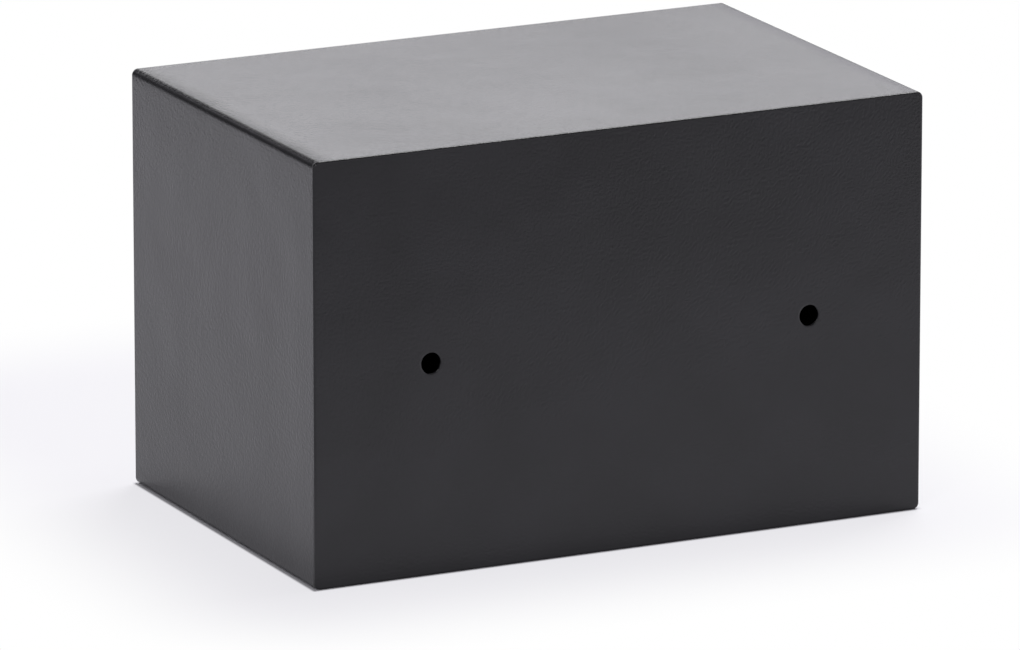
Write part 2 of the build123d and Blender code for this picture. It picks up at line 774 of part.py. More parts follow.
with BuildPart() as solenoid_posts:
    with BuildSketch(front_plane(solenoid_front_y)):
        with Locations((plunger_x, solenoid_mid_z)):
            with GridLocations(0, solenoid_height - 2 * solenoid_post_inset, 1, 2):
                Circle(solenoid_post_radius)
    extrude(amount=solenoid_front_y - door_back_y)
solenoid_posts.part.label = "solenoid_posts"
export_step(solenoid_posts.part, "parts/solenoid_posts.step")

bobbin_bottom = solenoid_bottom + solenoid_sheet
bobbin_height = solenoid_height - 2 * solenoid_sheet
bobbin_radius = plunger_bore_radius + bobbin_wall
with BuildPart() as solenoid_bobbin:
    with BuildSketch(Plane.XY.offset(bobbin_bottom)):
        with Locations((plunger_x, plunger_y)):
            Circle(bobbin_radius)
            Circle(plunger_bore_radius, mode=Mode.SUBTRACT)
    extrude(amount=bobbin_height)
    for flange_z in (bobbin_bottom, bobbin_bottom + bobbin_height - bobbin_flange):
        with BuildSketch(Plane.XY.offset(flange_z)):
            with Locations((plunger_x, plunger_y)):
                Circle(bobbin_flange_radius)
                Circle(plunger_bore_radius, mode=Mode.SUBTRACT)
        extrude(amount=bobbin_flange)
solenoid_bobbin.part.label = "solenoid_bobbin"
export_step(solenoid_bobbin.part, "parts/solenoid_bobbin.step")

with BuildPart() as coil_winding:
    with BuildSketch(Plane.XY.offset(bobbin_bottom + bobbin_flange)):
        with Locations((plunger_x, plunger_y)):
            Circle(winding_radius)
            Circle(bobbin_radius, mode=Mode.SUBTRACT)
    extrude(amount=bobbin_height - 2 * bobbin_flange)
coil_winding.part.label = "coil_winding"
export_step(coil_winding.part, "parts/coil_winding.step")

# Plunger: its tip is bevelled towards the hinge, so that the lug rides over it when locking
with BuildPart() as plunger:
    with BuildSketch(Plane.XY.offset(plunger_top - plunger_length)):
        with Locations((plunger_x, plunger_y)):
            Circle(plunger_radius)
    extrude(amount=plunger_length)
    with BuildSketch(front_plane(plunger_y + plunger_radius)):
        with BuildLine():
            Polyline(
                (plunger_x - plunger_radius, plunger_top - plunger_bevel),
                (plunger_x - plunger_radius, plunger_top),
                (plunger_x, plunger_top),
                close=True,
            )
        make_face()
    extrude(amount=2 * plunger_radius, mode=Mode.SUBTRACT)
plunger.part.label = "plunger"
export_step(plunger.part, "parts/plunger.step")

with BuildPart() as plunger_clip:
    with BuildSketch(Plane.XY.offset(clip_bottom)):
        with Locations((plunger_x, plunger_y)):
            Circle(clip_radius)
            Circle(plunger_radius + seat_clearance, mode=Mode.SUBTRACT)
    extrude(amount=clip_thickness)
plunger_clip.part.label = "plunger_clip"
export_step(plunger_clip.part, "parts/plunger_clip.step")

spring_height = spring_room - 2 * spring_wire_radius - 2 * slide_clearance
with BuildPart() as plunger_spring:
    with BuildLine() as spring_line:
        Helix(
            pitch=spring_height / spring_turns,
            height=spring_height,
            radius=spring_radius,
            center=(plunger_x, plunger_y, solenoid_top + spring_wire_radius + slide_clearance),
        )
    with BuildSketch(Plane(origin=spring_line.line @ 0, z_dir=spring_line.line % 0)):
        Circle(spring_wire_radius)
    sweep(is_frenet=True)
plunger_spring.part.label = "plunger_spring"
export_step(plunger_spring.part, "parts/plunger_spring.step")

# Override lock: a tubular-key cylinder through the door, its turning plug, and the cam behind it
head_back_y = front_y - escutcheon_floor
head_front_y = head_back_y - cylinder_head
plug_front_y = head_front_y + plug_face_inset
plug_bore_radius = plug_radius + running_clearance
with BuildPart() as key_cylinder:
    with BuildSketch(front_plane(cylinder_back_y)):
        with Locations((key_x, key_z)):
            Circle(cylinder_radius)
    extrude(amount=cylinder_back_y - head_back_y)
    with BuildSketch(front_plane(head_back_y)):
        with Locations((key_x, key_z)):
            Circle(cylinder_head_radius)
    extrude(amount=cylinder_head)
    fillet(key_cylinder.faces().sort_by(Axis.Y)[0].edges(), radius=cylinder_head / 3)
    with BuildSketch(front_plane(cylinder_back_y)):
        with Locations((key_x, key_z)):
            Circle(plug_bore_radius)
    extrude(amount=cylinder_back_y - head_front_y, mode=Mode.SUBTRACT)
key_cylinder.part.label = "key_cylinder"
export_step(key_cylinder.part, "parts/key_cylinder.step")

with BuildPart() as key_nut:
    with BuildSketch(front_plane(door_back_y + lock_nut_thickness)):
        with Locations((key_x, key_z)):
            RegularPolygon(lock_nut_across_flats / 2, 6, major_radius=False)
            Circle(cylinder_radius + seat_clearance, mode=Mode.SUBTRACT)
    extrude(amount=lock_nut_thickness)
key_nut.part.label = "key_nut"
export_step(key_nut.part, "parts/key_nut.step")

with BuildPart() as key_plug:
    with BuildSketch(front_plane(cylinder_back_y)):
        with Locations((key_x, key_z)):
            Circle(plug_radius)
    extrude(amount=cylinder_back_y - plug_front_y)
    with BuildSketch(front_plane(plug_front_y + keyway_depth)):
        with Locations((key_x, key_z)):
            Circle(keyway_outer_radius)
            Circle(keyway_inner_radius, mode=Mode.SUBTRACT)
        with Locations((key_x, key_z + keyway_outer_radius)):
            Rectangle(keyway_notch, keyway_notch)
    extrude(amount=keyway_depth, mode=Mode.SUBTRACT)
    with BuildSketch(front_plane(cam_plate_back_y)):
        with Locations((key_x, key_z)):
            Rectangle(plug_square, plug_square)
    extrude(amount=cam_plate_back_y - cylinder_back_y)
key_plug.part.label = "key_plug"
export_step(key_plug.part, "parts/key_plug.step")

cam_plate_reach = key_to_plunger + cam_plate_overlap
with BuildPart() as key_cam:
    with BuildSketch(front_plane(cam_plate_back_y)):
        with Locations((key_x, key_z)):
            Circle(cam_plate_hub_radius)
        with Locations((key_x, key_z + cam_plate_reach / 2)):
            SlotCenterToCenter(cam_plate_reach, cam_plate_width, rotation=90)
        with Locations((key_x, key_z)):
            Rectangle(plug_square, plug_square, mode=Mode.SUBTRACT)
    extrude(amount=cam_plate_thickness)
key_cam.part.label = "key_cam"
export_step(key_cam.part, "parts/key_cam.step")

with BuildPart() as key_cam_screw:
    with BuildSketch(front_plane(cam_plate_back_y + key_screw_head)):
        with Locations((key_x, key_z)):
            Circle(key_screw_head_radius + screw_radius)
    extrude(amount=key_screw_head)
    with BuildSketch(front_plane(cam_plate_back_y + key_screw_head)):
        with Locations((key_x, key_z)):
            Rectangle(2 * key_screw_head_radius, slot_width)
            Rectangle(slot_width, 2 * key_screw_head_radius)
    extrude(amount=slot_depth, mode=Mode.SUBTRACT)
key_cam_screw.part.label = "key_cam_screw"
export_step(key_cam_screw.part, "parts/key_cam_screw.step")

# Key escutcheon: a pear-shaped plate clamped under the lock's head, with the cover's pivot above
key_pivot_z = key_z + key_cover_pivot_rise
key_plate_front_y = front_y - key_plate_height
with BuildPart() as key_escutcheon:
    with BuildSketch(front_plane(front_y)):
        with BuildLine():
            CenterArc((key_x, key_z), key_plate_radius, 0, 360)
            CenterArc((key_x, key_pivot_z), key_plate_top_radius, 0, 360)
        make_hull()
    extrude(amount=key_plate_height)
    fillet(key_escutcheon.faces().sort_by(Axis.Y)[0].edges(), radius=key_plate_round)
    with BuildSketch(front_plane(head_back_y)):
        with Locations((key_x, key_z)):
            Circle(cylinder_head_radius + slide_clearance)
    extrude(amount=key_plate_height, mode=Mode.SUBTRACT)
    with BuildSketch(front_plane(front_y)):
        with Locations((key_x, key_z)):
            Circle(cylinder_radius + seat_clearance)
        with Locations((key_x, key_pivot_z)):
            Circle(cover_screw_shank_radius + seat_clearance)
    extrude(amount=key_plate_height, mode=Mode.SUBTRACT)
key_escutcheon.part.label = "key_escutcheon"
export_step(key_escutcheon.part, "parts/key_escutcheon.step")

key_cover_back_y = key_plate_front_y - slide_clearance
key_cover_front_y = key_cover_back_y - key_cover_thickness
with BuildPart() as key_cover:
    with BuildSketch(front_plane(key_cover_back_y)):
        with BuildLine():
            CenterArc((key_x, key_z), key_cover_radius, 0, 360)
            CenterArc((key_x, key_pivot_z), key_cover_top_radius, 0, 360)
        make_hull()
        with Locations((key_x, key_pivot_z)):
            Circle(cover_screw_shank_radius + running_clearance, mode=Mode.SUBTRACT)
    extrude(amount=key_cover_thickness)
    chamfer(key_cover.faces().sort_by(Axis.Y)[0].outer_wire().edges(), length=key_cover_dish)
    with BuildSketch(front_plane(key_cover_front_y + slot_depth)):
        with Locations((key_x, key_z)):
            Circle(key_cover_radius / 2)
    extrude(amount=slot_depth, mode=Mode.SUBTRACT)
key_cover.part.label = "key_cover"
export_step(key_cover.part, "parts/key_cover.step")

screw_seat_y = key_cover_front_y - slide_clearance
with BuildPart() as key_cover_screw:
    with BuildSketch(front_plane(screw_seat_y)):
        with Locations((key_x, key_pivot_z)):
            Circle(cover_screw_head_radius)
    extrude(amount=cover_screw_head)
    fillet(key_cover_screw.faces().sort_by(Axis.Y)[0].edges(), radius=cover_screw_head / 2)
    with BuildSketch(front_plane(front_y)):
        with Locations((key_x, key_pivot_z)):
            Circle(cover_screw_shank_radius)
    extrude(amount=front_y - screw_seat_y)
    with BuildSketch(front_plane(screw_seat_y - cover_screw_head)):
        with Locations((key_x, key_pivot_z)):
            Rectangle(2 * cover_screw_head_radius, slot_width)
    extrude(amount=-slot_depth, mode=Mode.SUBTRACT)
key_cover_screw.part.label = "key_cover_screw"
export_step(key_cover_screw.part, "parts/key_cover_screw.step")

# Reader panel: a hollow moulding with a finger rest scooped into its face
panel_front_y = front_y - panel_depth
panel_inner_y = panel_front_y + panel_wall
reader_z = mid_z + lens_pitch / 2
panel_board_back_y = front_y - panel_board_setback
panel_board_front_y = panel_board_back_y - board_thickness
lens_z = reader_z
lens_x = panel_x + panel_width / 2 - lens_inset
reader_x = panel_x - panel_width / 2 + reader_inset
panel_board_width = panel_boss_distance - 2 * (panel_boss_radius + panel_board_clearance)
panel_board_height = panel_height - 2 * panel_board_inset_z
rest_axis_y = panel_front_y - finger_rest_radius + finger_rest_depth
lens_places = [(lens_x, lens_z + lens_pitch * (i - (lens_count - 1) / 2)) for i in range(lens_count)]
with BuildPart() as escutcheon:
    with BuildSketch(front_plane(front_y)):
        with Locations((panel_x, mid_z)):
            RectangleRounded(panel_width, panel_height, panel_corner)
    extrude(amount=panel_depth)
    fillet(escutcheon.faces().sort_by(Axis.Y)[0].edges(), radius=panel_round)
    with BuildSketch(front_plane(front_y)):
        with Locations((panel_x, mid_z)):
            RectangleRounded(
                panel_width - 2 * panel_wall, panel_height - 2 * panel_wall, panel_corner - panel_wall
            )
    extrude(amount=panel_depth - panel_wall, mode=Mode.SUBTRACT)
    with BuildSketch(Plane.XY.offset(mid_z - panel_height)):
        with Locations((reader_x, rest_axis_y)):
            Circle(finger_rest_radius)
    extrude(amount=panel_height + reader_z - mid_z + bezel_height / 4, mode=Mode.SUBTRACT)
    with BuildSketch(front_plane(front_y)):
        with Locations((panel_x, mid_z)):
            with GridLocations(panel_boss_distance, 0, 2, 1):
                Circle(panel_boss_radius)
    extrude(amount=panel_depth - panel_wall)
    with BuildSketch(front_plane(panel_board_front_y)):
        with Locations((panel_x, mid_z)):
            with GridLocations(
                panel_board_width - 2 * panel_post_inset_x,
                panel_board_height - 2 * panel_post_inset_z,
                2,
                2,
            ):
                Circle(panel_post_radius)
    extrude(amount=panel_board_front_y - panel_inner_y)
    with BuildSketch(front_plane(front_y)):
        with Locations((panel_x, mid_z)):
            with GridLocations(panel_boss_distance, 0, 2, 1):
                Circle(panel_pilot_radius)
    extrude(amount=panel_screw_into, mode=Mode.SUBTRACT)
    with BuildSketch(front_plane(panel_inner_y)):
        with Locations((reader_x, reader_z)):
            RectangleRounded(
                bezel_width + 2 * seat_clearance, bezel_height + 2 * seat_clearance, bezel_corner
            )
        with Locations(*lens_places):
            Circle(lens_radius + seat_clearance)
    extrude(amount=2 * panel_wall, mode=Mode.SUBTRACT)
escutcheon.part.label = "escutcheon"
export_step(escutcheon.part, "parts/escutcheon.step")

panel_screw_seat_y = door_back_y + panel_screw_head
with BuildPart() as escutcheon_screws:
    for side in (-1, 1):
        with BuildSketch(front_plane(panel_screw_seat_y)):
            with Locations((panel_x + side * panel_boss_distance / 2, mid_z)):
                Circle(panel_screw_head_radius)
                Rectangle(2 * screw_radius, slot_width, mode=Mode.SUBTRACT)
        extrude(amount=panel_screw_head)
        with BuildSketch(front_plane(door_back_y)):
            with Locations((panel_x + side * panel_boss_distance / 2, mid_z)):
                Circle(panel_pilot_radius)
        extrude(amount=door_thickness + panel_screw_into)
escutcheon_screws.part.label = "escutcheon_screws"
export_step(escutcheon_screws.part, "parts/escutcheon_screws.step")

with BuildPart() as panel_board:
    with BuildSketch(front_plane(panel_board_back_y)):
        with Locations((panel_x, mid_z)):
            RectangleRounded(panel_board_width, panel_board_height, slot_edge)
    extrude(amount=board_thickness)
panel_board.part.label = "panel_board"
export_step(panel_board.part, "parts/panel_board.step")

# Sensor: a block on the board, a bezel that fills the panel's opening, and the window in it
bezel_back_y = panel_inner_y
bezel_front_y = panel_front_y + finger_rest_depth - bezel_proud
window_front_y = bezel_front_y + window_inset
window_back_y = window_front_y + window_thickness
with BuildPart() as sensor_bezel:
    with BuildSketch(front_plane(bezel_back_y)):
        with Locations((reader_x, reader_z)):
            RectangleRounded(bezel_width, bezel_height, bezel_corner)
    extrude(amount=bezel_back_y - bezel_front_y)
    chamfer(sensor_bezel.faces().sort_by(Axis.Y)[0].edges(), length=window_inset / 2)
    with BuildSketch(front_plane(bezel_back_y)):
        with Locations((reader_x, reader_z)):
            RectangleRounded(
                bezel_width - 2 * bezel_rim, bezel_height - 2 * bezel_rim, bezel_corner - bezel_rim
            )
    extrude(amount=bezel_back_y - bezel_front_y, mode=Mode.SUBTRACT)
sensor_bezel.part.label = "sensor_bezel"
export_step(sensor_bezel.part, "parts/sensor_bezel.step")

with BuildPart() as sensor_window:
    with BuildSketch(front_plane(window_back_y)):
        with Locations((reader_x, reader_z)):
            RectangleRounded(
                bezel_width - 2 * bezel_rim, bezel_height - 2 * bezel_rim, bezel_corner - bezel_rim
            )
    extrude(amount=window_thickness)
sensor_window.part.label = "sensor_window"
export_step(sensor_window.part, "parts/sensor_window.step")

with BuildPart() as sensor_module:
    with BuildSketch(front_plane(panel_board_front_y)):
        with Locations((reader_x, reader_z)):
            Rectangle(reader_block_width, reader_block_height)
    extrude(amount=panel_board_front_y - window_back_y)
    chamfer(sensor_module.edges().filter_by(Axis.Y), length=bezel_corner / 3)
sensor_module.part.label = "sensor_module"
export_step(sensor_module.part, "parts/sensor_module.step")

with BuildPart() as indicator_lenses:
    with BuildSketch(front_plane(panel_board_front_y)):
        with Locations(*lens_places):
            Circle(lens_radius)
    extrude(amount=panel_board_front_y - panel_front_y + lens_proud)
    chamfer(indicator_lenses.faces().group_by(Axis.Y)[0].edges(), length=lens_proud / 2)
    with BuildSketch(front_plane(panel_inner_y + lens_foot)):
        with Locations(*lens_places):
            Circle(lens_foot_radius)
    extrude(amount=lens_foot)
indicator_lenses.part.label = "indicator_lenses"
export_step(indicator_lenses.part, "parts/indicator_lenses.step")

# Inner cover: a folded pan over the works, with holes for the bolts, the batteries and the button
cover_width = cover_right - cover_left
cover_height = cover_top - cover_bottom
cover_x = (cover_left + cover_right) / 2
holder_inner_width = cell_pitch * cell_count
holder_inner_height = cell_length + cell_nub + 2 * contact_room
holder_width = holder_inner_width + 2 * holder_wall
holder_height = holder_inner_height + 2 * holder_wall
holder_left = cover_left + post_inset + cover_screw_radius + holder_screw_gap + holder_lip
holder_x = holder_left + holder_width / 2
cover_spare = cover_height - holder_height - board_height
holder_z = cover_bottom + holder_low_share * cover_spare + holder_height / 2
board_left = cover_left + board_left_gap
board_top = cover_top - board_top_share * cover_spare
board_x = board_left + board_width / 2
board_z = board_top - board_height / 2
button_x = board_left + button_inset_x
button_z = board_top - button_inset_z
post_places = [
    (x, z)
    for x in (cover_left + post_inset, cover_right - post_inset)
    for z in (cover_bottom + post_inset, cover_top - post_inset)
]
with BuildPart() as inner_cover:
    with BuildSketch(front_plane(cover_back_y)):
        with Locations((cover_x, mid_z)):
            RectangleRounded(cover_width, cover_height, cover_corner)
    extrude(amount=cover_depth)
    fillet(inner_cover.faces().sort_by(Axis.Y)[-1].edges(), radius=cover_bend)
    offset(amount=-cover_sheet, openings=inner_cover.faces().sort_by(Axis.Y)[0])
    with BuildSketch(front_plane(cover_back_y)):
        with Locations((holder_x, holder_z)):
            Rectangle(holder_width + 2 * holder_clearance, holder_height + 2 * holder_clearance)
        with Locations((button_x, button_z)):
            Circle(button_radius + button_hole_clearance)
        with Locations(*post_places):
            Circle(screw_radius)
    extrude(amount=cover_sheet, mode=Mode.SUBTRACT)
    with BuildSketch(Plane.YZ.offset(cover_right - cover_sheet)):
        with Locations((bolt_y, bolt_heights[0]), (bolt_y, bolt_heights[1])):
            Circle(bolt_radius + 2 * slide_clearance)
    extrude(amount=cover_sheet, mode=Mode.SUBTRACT)
inner_cover.part.label = "inner_cover"
export_step(inner_cover.part, "parts/inner_cover.step")

with BuildPart() as cover_posts:
    with BuildSketch(front_plane(cover_inner_y)):
        with Locations(*post_places):
            Circle(post_radius)
            Circle(screw_radius, mode=Mode.SUBTRACT)
    extrude(amount=cover_inner_y - door_back_y)
cover_posts.part.label = "cover_posts"
export_step(cover_posts.part, "parts/cover_posts.step")

with BuildPart() as cover_screws:
    with BuildSketch(front_plane(cover_back_y + cover_screw_rise)):
        with Locations(*post_places):
            Circle(cover_screw_radius)
    extrude(amount=cover_screw_rise)
    chamfer(cover_screws.faces().group_by(Axis.Y)[-1].edges(), length=cover_screw_rise / 2)
    with BuildSketch(front_plane(cover_back_y)):
        with Locations(*post_places):
            Circle(screw_radius)
    extrude(amount=post_inset)
    with BuildSketch(front_plane(cover_back_y + cover_screw_rise)):
        with Locations(*post_places):
            Rectangle(2 * screw_radius, slot_width)
            Rectangle(slot_width, 2 * screw_radius)
    extrude(amount=slot_depth, mode=Mode.SUBTRACT)
cover_screws.part.label = "cover_screws"
export_step(cover_screws.part, "parts/cover_screws.step")

# Circuit board on four spacers, with its chips, connectors and the enroll switch
spacer_places = [
    (x, z)
    for x in (board_left + spacer_inset, board_left + board_width - spacer_inset)
    for z in (board_top - board_height + spacer_inset, board_top - spacer_inset)
]
with BuildPart() as circuit_board:
    with BuildSketch(front_plane(board_back_y)):
        with Locations((board_x, board_z)):
            RectangleRounded(board_width, board_height, spacer_inset / 2)
        with Locations(*spacer_places):
            Circle(screw_radius, mode=Mode.SUBTRACT)
    extrude(amount=board_thickness)
circuit_board.part.label = "circuit_board"
export_step(circuit_board.part, "parts/circuit_board.step")

with BuildPart() as board_spacers:
    with BuildSketch(front_plane(board_front_y)):
        with Locations(*spacer_places):
            Circle(spacer_radius)
            Circle(screw_radius, mode=Mode.SUBTRACT)
    extrude(amount=board_depth)
board_spacers.part.label = "board_spacers"
export_step(board_spacers.part, "parts/board_spacers.step")

with BuildPart() as board_screws:
    with BuildSketch(front_plane(board_back_y + board_screw_head)):
        with Locations(*spacer_places):
            Circle(board_screw_radius)
            Rectangle(2 * screw_radius, slot_width, mode=Mode.SUBTRACT)
    extrude(amount=board_screw_head)
    with BuildSketch(front_plane(board_back_y)):
        with Locations(*spacer_places):
            Circle(screw_radius)
    extrude(amount=board_thickness + spacer_inset)
board_screws.part.label = "board_screws"
export_step(board_screws.part, "parts/board_screws.step")

# Board parts, each as its offset on the board from the board's middle, its size and its height
board_part_sizes = (
    ((-4, 4), (14, 14), 2.0),
    ((18, 10), (8, 6), 2.5),
    ((18, -4), (10, 8), 1.8),
    ((battery_plug_x, plug_z), (plug_width, plug_height), plug_rise),
    ((panel_plug_x, plug_z), (plug_width, plug_height), plug_rise),
    ((solenoid_plug_x, plug_z), (plug_width, plug_height), plug_rise),
)
buzzer_offset = (-24, 0)
buzzer_radius = 5.0
buzzer_height = 6.0
capacitor_offset = (30, 6)
capacitor_radius = 3.2
capacitor_height = 9.0
with BuildPart() as board_parts:
    for (across, up), (part_width, part_height), rise in board_part_sizes:
        with BuildSketch(front_plane(board_back_y + rise)):
            with Locations((board_x + across, board_z + up)):
                Rectangle(part_width, part_height)
        extrude(amount=rise)
    for (across, up), radius, rise in (
        (buzzer_offset, buzzer_radius, buzzer_height),
        (capacitor_offset, capacitor_radius, capacitor_height),
    ):
        with BuildSketch(front_plane(board_back_y + rise)):
            with Locations((board_x + across, board_z + up)):
                Circle(radius)
        extrude(amount=rise)
board_parts.part.label = "board_parts"
export_step(board_parts.part, "parts/board_parts.step")

switch_back_y = board_back_y + switch_height
with BuildPart() as button_switch:
    with BuildSketch(front_plane(switch_back_y)):
        with Locations((button_x, button_z)):
            Rectangle(switch_side, switch_side)
    extrude(amount=switch_height)
    chamfer(button_switch.edges().filter_by(Axis.Y), length=switch_bevel)
    with BuildSketch(front_plane(switch_back_y)):
        with Locations((button_x, button_z)):
            Circle(switch_bore_radius)
    extrude(amount=button_stem_into + button_travel + slide_clearance, mode=Mode.SUBTRACT)
button_switch.part.label = "button_switch"
export_step(button_switch.part, "parts/button_switch.step")

# Enroll button: a cap through the cover, with a collar that holds it in and a stem to the switch
button_collar_back_y = cover_inner_y - slide_clearance
with BuildPart() as enroll_button:
    with BuildSketch(front_plane(cover_back_y + button_proud)):
        with Locations((button_x, button_z)):
            Circle(button_radius)
    extrude(amount=cover_back_y + button_proud - button_collar_back_y)
    fillet(enroll_button.faces().sort_by(Axis.Y)[-1].edges(), radius=button_round)
    with BuildSketch(front_plane(button_collar_back_y)):
        with Locations((button_x, button_z)):
            Circle(button_collar_radius)
    extrude(amount=button_collar)
    with BuildSketch(front_plane(button_collar_back_y - button_collar)):
        with Locations((button_x, button_z)):
            Circle(button_stem_radius)
    extrude(amount=button_collar_back_y - button_collar - switch_back_y + button_stem_into)
enroll_button.part.label = "enroll_button"
export_step(enroll_button.part, "parts/enroll_button.step")

# Battery holder: a tub through the inner cover, hung by its lip, with four cells side by side
holder_depth = holder_wall + slide_clearance + 2 * cell_radius + lid_room + lid_thickness
lip_back_y = cover_back_y + holder_lip_thickness
tub_front_y = lip_back_y - holder_depth
lid_back_y = lip_back_y
lid_pivot_y = lid_back_y - lid_thickness / 2
lid_pivot_z = holder_z + holder_inner_height / 2 - lid_pivot_drop
lid_half_width = holder_inner_width / 2 - lid_gap
with BuildPart() as battery_holder:
    with BuildSketch(front_plane(lip_back_y)):
        with Locations((holder_x, holder_z)):
            RectangleRounded(holder_width + 2 * holder_lip, holder_height + 2 * holder_lip, holder_lip)
    extrude(amount=holder_lip_thickness)
    with BuildSketch(front_plane(lip_back_y)):
        with Locations((holder_x, holder_z)):
            Rectangle(holder_width, holder_height)
    extrude(amount=holder_depth)
    with BuildSketch(front_plane(lip_back_y)):
        with Locations((holder_x, holder_z)):
            Rectangle(holder_inner_width, holder_inner_height)
    extrude(amount=holder_depth - holder_wall, mode=Mode.SUBTRACT)
    with BuildSketch(Plane.YZ.offset(holder_x - lid_half_width - lid_pin_length - lid_gap)):
        with Locations((lid_pivot_y, lid_pivot_z)):
            Circle(lid_pin_radius + running_clearance)
    extrude(amount=2 * (lid_half_width + lid_pin_length + lid_gap), mode=Mode.SUBTRACT)
battery_holder.part.label = "battery_holder"
export_step(battery_holder.part, "parts/battery_holder.step")

cell_y = tub_front_y + holder_wall + slide_clearance + cell_radius
cell_places = [holder_x + cell_pitch * (i - (cell_count - 1) / 2) for i in range(cell_count)]
cell_low_z = holder_z - (cell_length + cell_nub) / 2
with BuildPart() as batteries:
    for i, x in enumerate(cell_places):
        upright = i % 2 == 0
        can_bottom = cell_low_z if upright else cell_low_z + cell_nub
        nub_bottom = can_bottom + cell_length if upright else cell_low_z
        with BuildSketch(Plane.XY.offset(can_bottom)):
            with Locations((x, cell_y)):
                Circle(cell_radius)
        extrude(amount=cell_length)
        with BuildSketch(Plane.XY.offset(nub_bottom)):
            with Locations((x, cell_y)):
                Circle(cell_nub_radius)
        extrude(amount=cell_nub)
batteries.part.label = "batteries"
export_step(batteries.part, "parts/batteries.step")

# Battery contacts: a bowed strip at each end of each cell, resting on the holder's wall
bow = contact_room - contact_sheet - slide_clearance
with BuildPart() as battery_contacts:
    for x in cell_places:
        for wall_z, inwards in (
            (holder_z - holder_inner_height / 2, 1),
            (holder_z + holder_inner_height / 2, -1),
        ):
            with BuildSketch(Plane.XZ.offset(-cell_y - contact_width / 2)):
                with BuildLine():
                    low = wall_z + inwards * contact_sheet / 2
                    high = low + inwards * bow
                    Polyline(
                        (x - contact_width / 2, low),
                        (x, high),
                        (x + contact_width / 2, low),
                    )
                trace(line_width=contact_sheet)
            extrude(amount=contact_width)
battery_contacts.part.label = "battery_contacts"
export_step(battery_contacts.part, "parts/battery_contacts.step")

# Battery lid: turns on two stub pins at its top edge, with a thumb grip at its bottom edge
lid_bottom_z = holder_z - holder_inner_height / 2 + lid_gap
lid_top_z = lid_pivot_z + lid_top_above_pivot
with BuildPart() as battery_lid:
    with BuildSketch(front_plane(lid_back_y)):
        with Locations((holder_x, (lid_bottom_z + lid_top_z) / 2)):
            Rectangle(2 * lid_half_width, lid_top_z - lid_bottom_z)
    extrude(amount=lid_thickness)
    fillet(battery_lid.edges().filter_by(Axis.X).group_by(Axis.Z)[-1], radius=lid_thickness / 2.2)
    with BuildSketch(Plane.YZ.offset(holder_x - lid_half_width - lid_pin_length)):
        with Locations((lid_pivot_y, lid_pivot_z)):
            Circle(lid_pin_radius)
    extrude(amount=2 * (lid_half_width + lid_pin_length))
    with BuildSketch(front_plane(lid_back_y)):
        with Locations((holder_x, lid_bottom_z + lid_grip_height)):
            SlotOverall(lid_grip_width, lid_grip_height)
    extrude(amount=lid_grip_depth, mode=Mode.SUBTRACT)
battery_lid.part.label = "battery_lid"
export_step(battery_lid.part, "parts/battery_lid.step")

# Leads inside the door, each with its own route: battery tub, solenoid and reader panel to the board
lead_y = board_back_y + 2 * lead_radius
connector_z = board_z + plug_z - plug_height / 2
lead_hole_z = mid_z - lead_hole_drop
battery_route = [
    (holder_x, tub_front_y + lead_from_tub, holder_z + holder_height / 2),
    (holder_x, tub_front_y + lead_from_tub, holder_z + holder_height / 2 + lead_straight),
    (board_x + battery_plug_x, lead_y, connector_z - lead_straight),
    (board_x + battery_plug_x, lead_y, connector_z),
]
solenoid_route = [
    (plunger_x - winding_radius, plunger_y, solenoid_mid_z),
    (key_x - cylinder_radius - lead_before_cylinder, plunger_y, solenoid_mid_z),
    (key_x - cylinder_radius - lead_past_cylinder, plunger_y, key_z - lead_under_key),
    (board_x + solenoid_plug_x, lead_y, connector_z - lead_straight - lead_rise),
    (board_x + solenoid_plug_x, lead_y, connector_z),
]
panel_route = [
    (panel_x, panel_board_back_y, lead_hole_z),
    (panel_x, door_back_y + lead_stand, lead_hole_z),
    (board_x + panel_plug_x, door_back_y + lead_stand, board_z + plug_z),
    (board_x + panel_plug_x, board_front_y, board_z + plug_z),
]


def lead(route, name):
    """A lead of round section along its route, with the largest bends that its runs allow."""
    radii = lead_radii(route)
    with BuildPart() as cable:
        with BuildLine() as path:
            FilletPolyline(*route, radius=radii)
        with BuildSketch(Plane(origin=path.line @ 0, z_dir=path.line % 0)):
            Circle(lead_radius)
        sweep()
    print(name, "bend radii", [round(radius, 1) for radius in radii])
    return cable.part


battery_lead = lead(battery_route, "battery_lead")
battery_lead.label = "battery_lead"
export_step(battery_lead, "parts/battery_lead.step")

solenoid_lead = lead(solenoid_route, "solenoid_lead")
solenoid_lead.label = "solenoid_lead"
export_step(solenoid_lead, "parts/solenoid_lead.step")

panel_lead = lead(panel_route, "panel_lead")
panel_lead.label = "panel_lead"
export_step(panel_lead, "parts/panel_lead.step")
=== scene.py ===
"""Looks of a small black steel safe with a fingerprint door, seen from its back.

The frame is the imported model. Every finish is a class that writes its own nodes round one
shader. Every sub-assembly is a class that names the finish of each of its nodes and the
pieces that are modelled where the solids leave something out.
"""

import logging
import math
from dataclasses import dataclass
from enum import Enum
from typing import Callable, ClassVar, Sequence

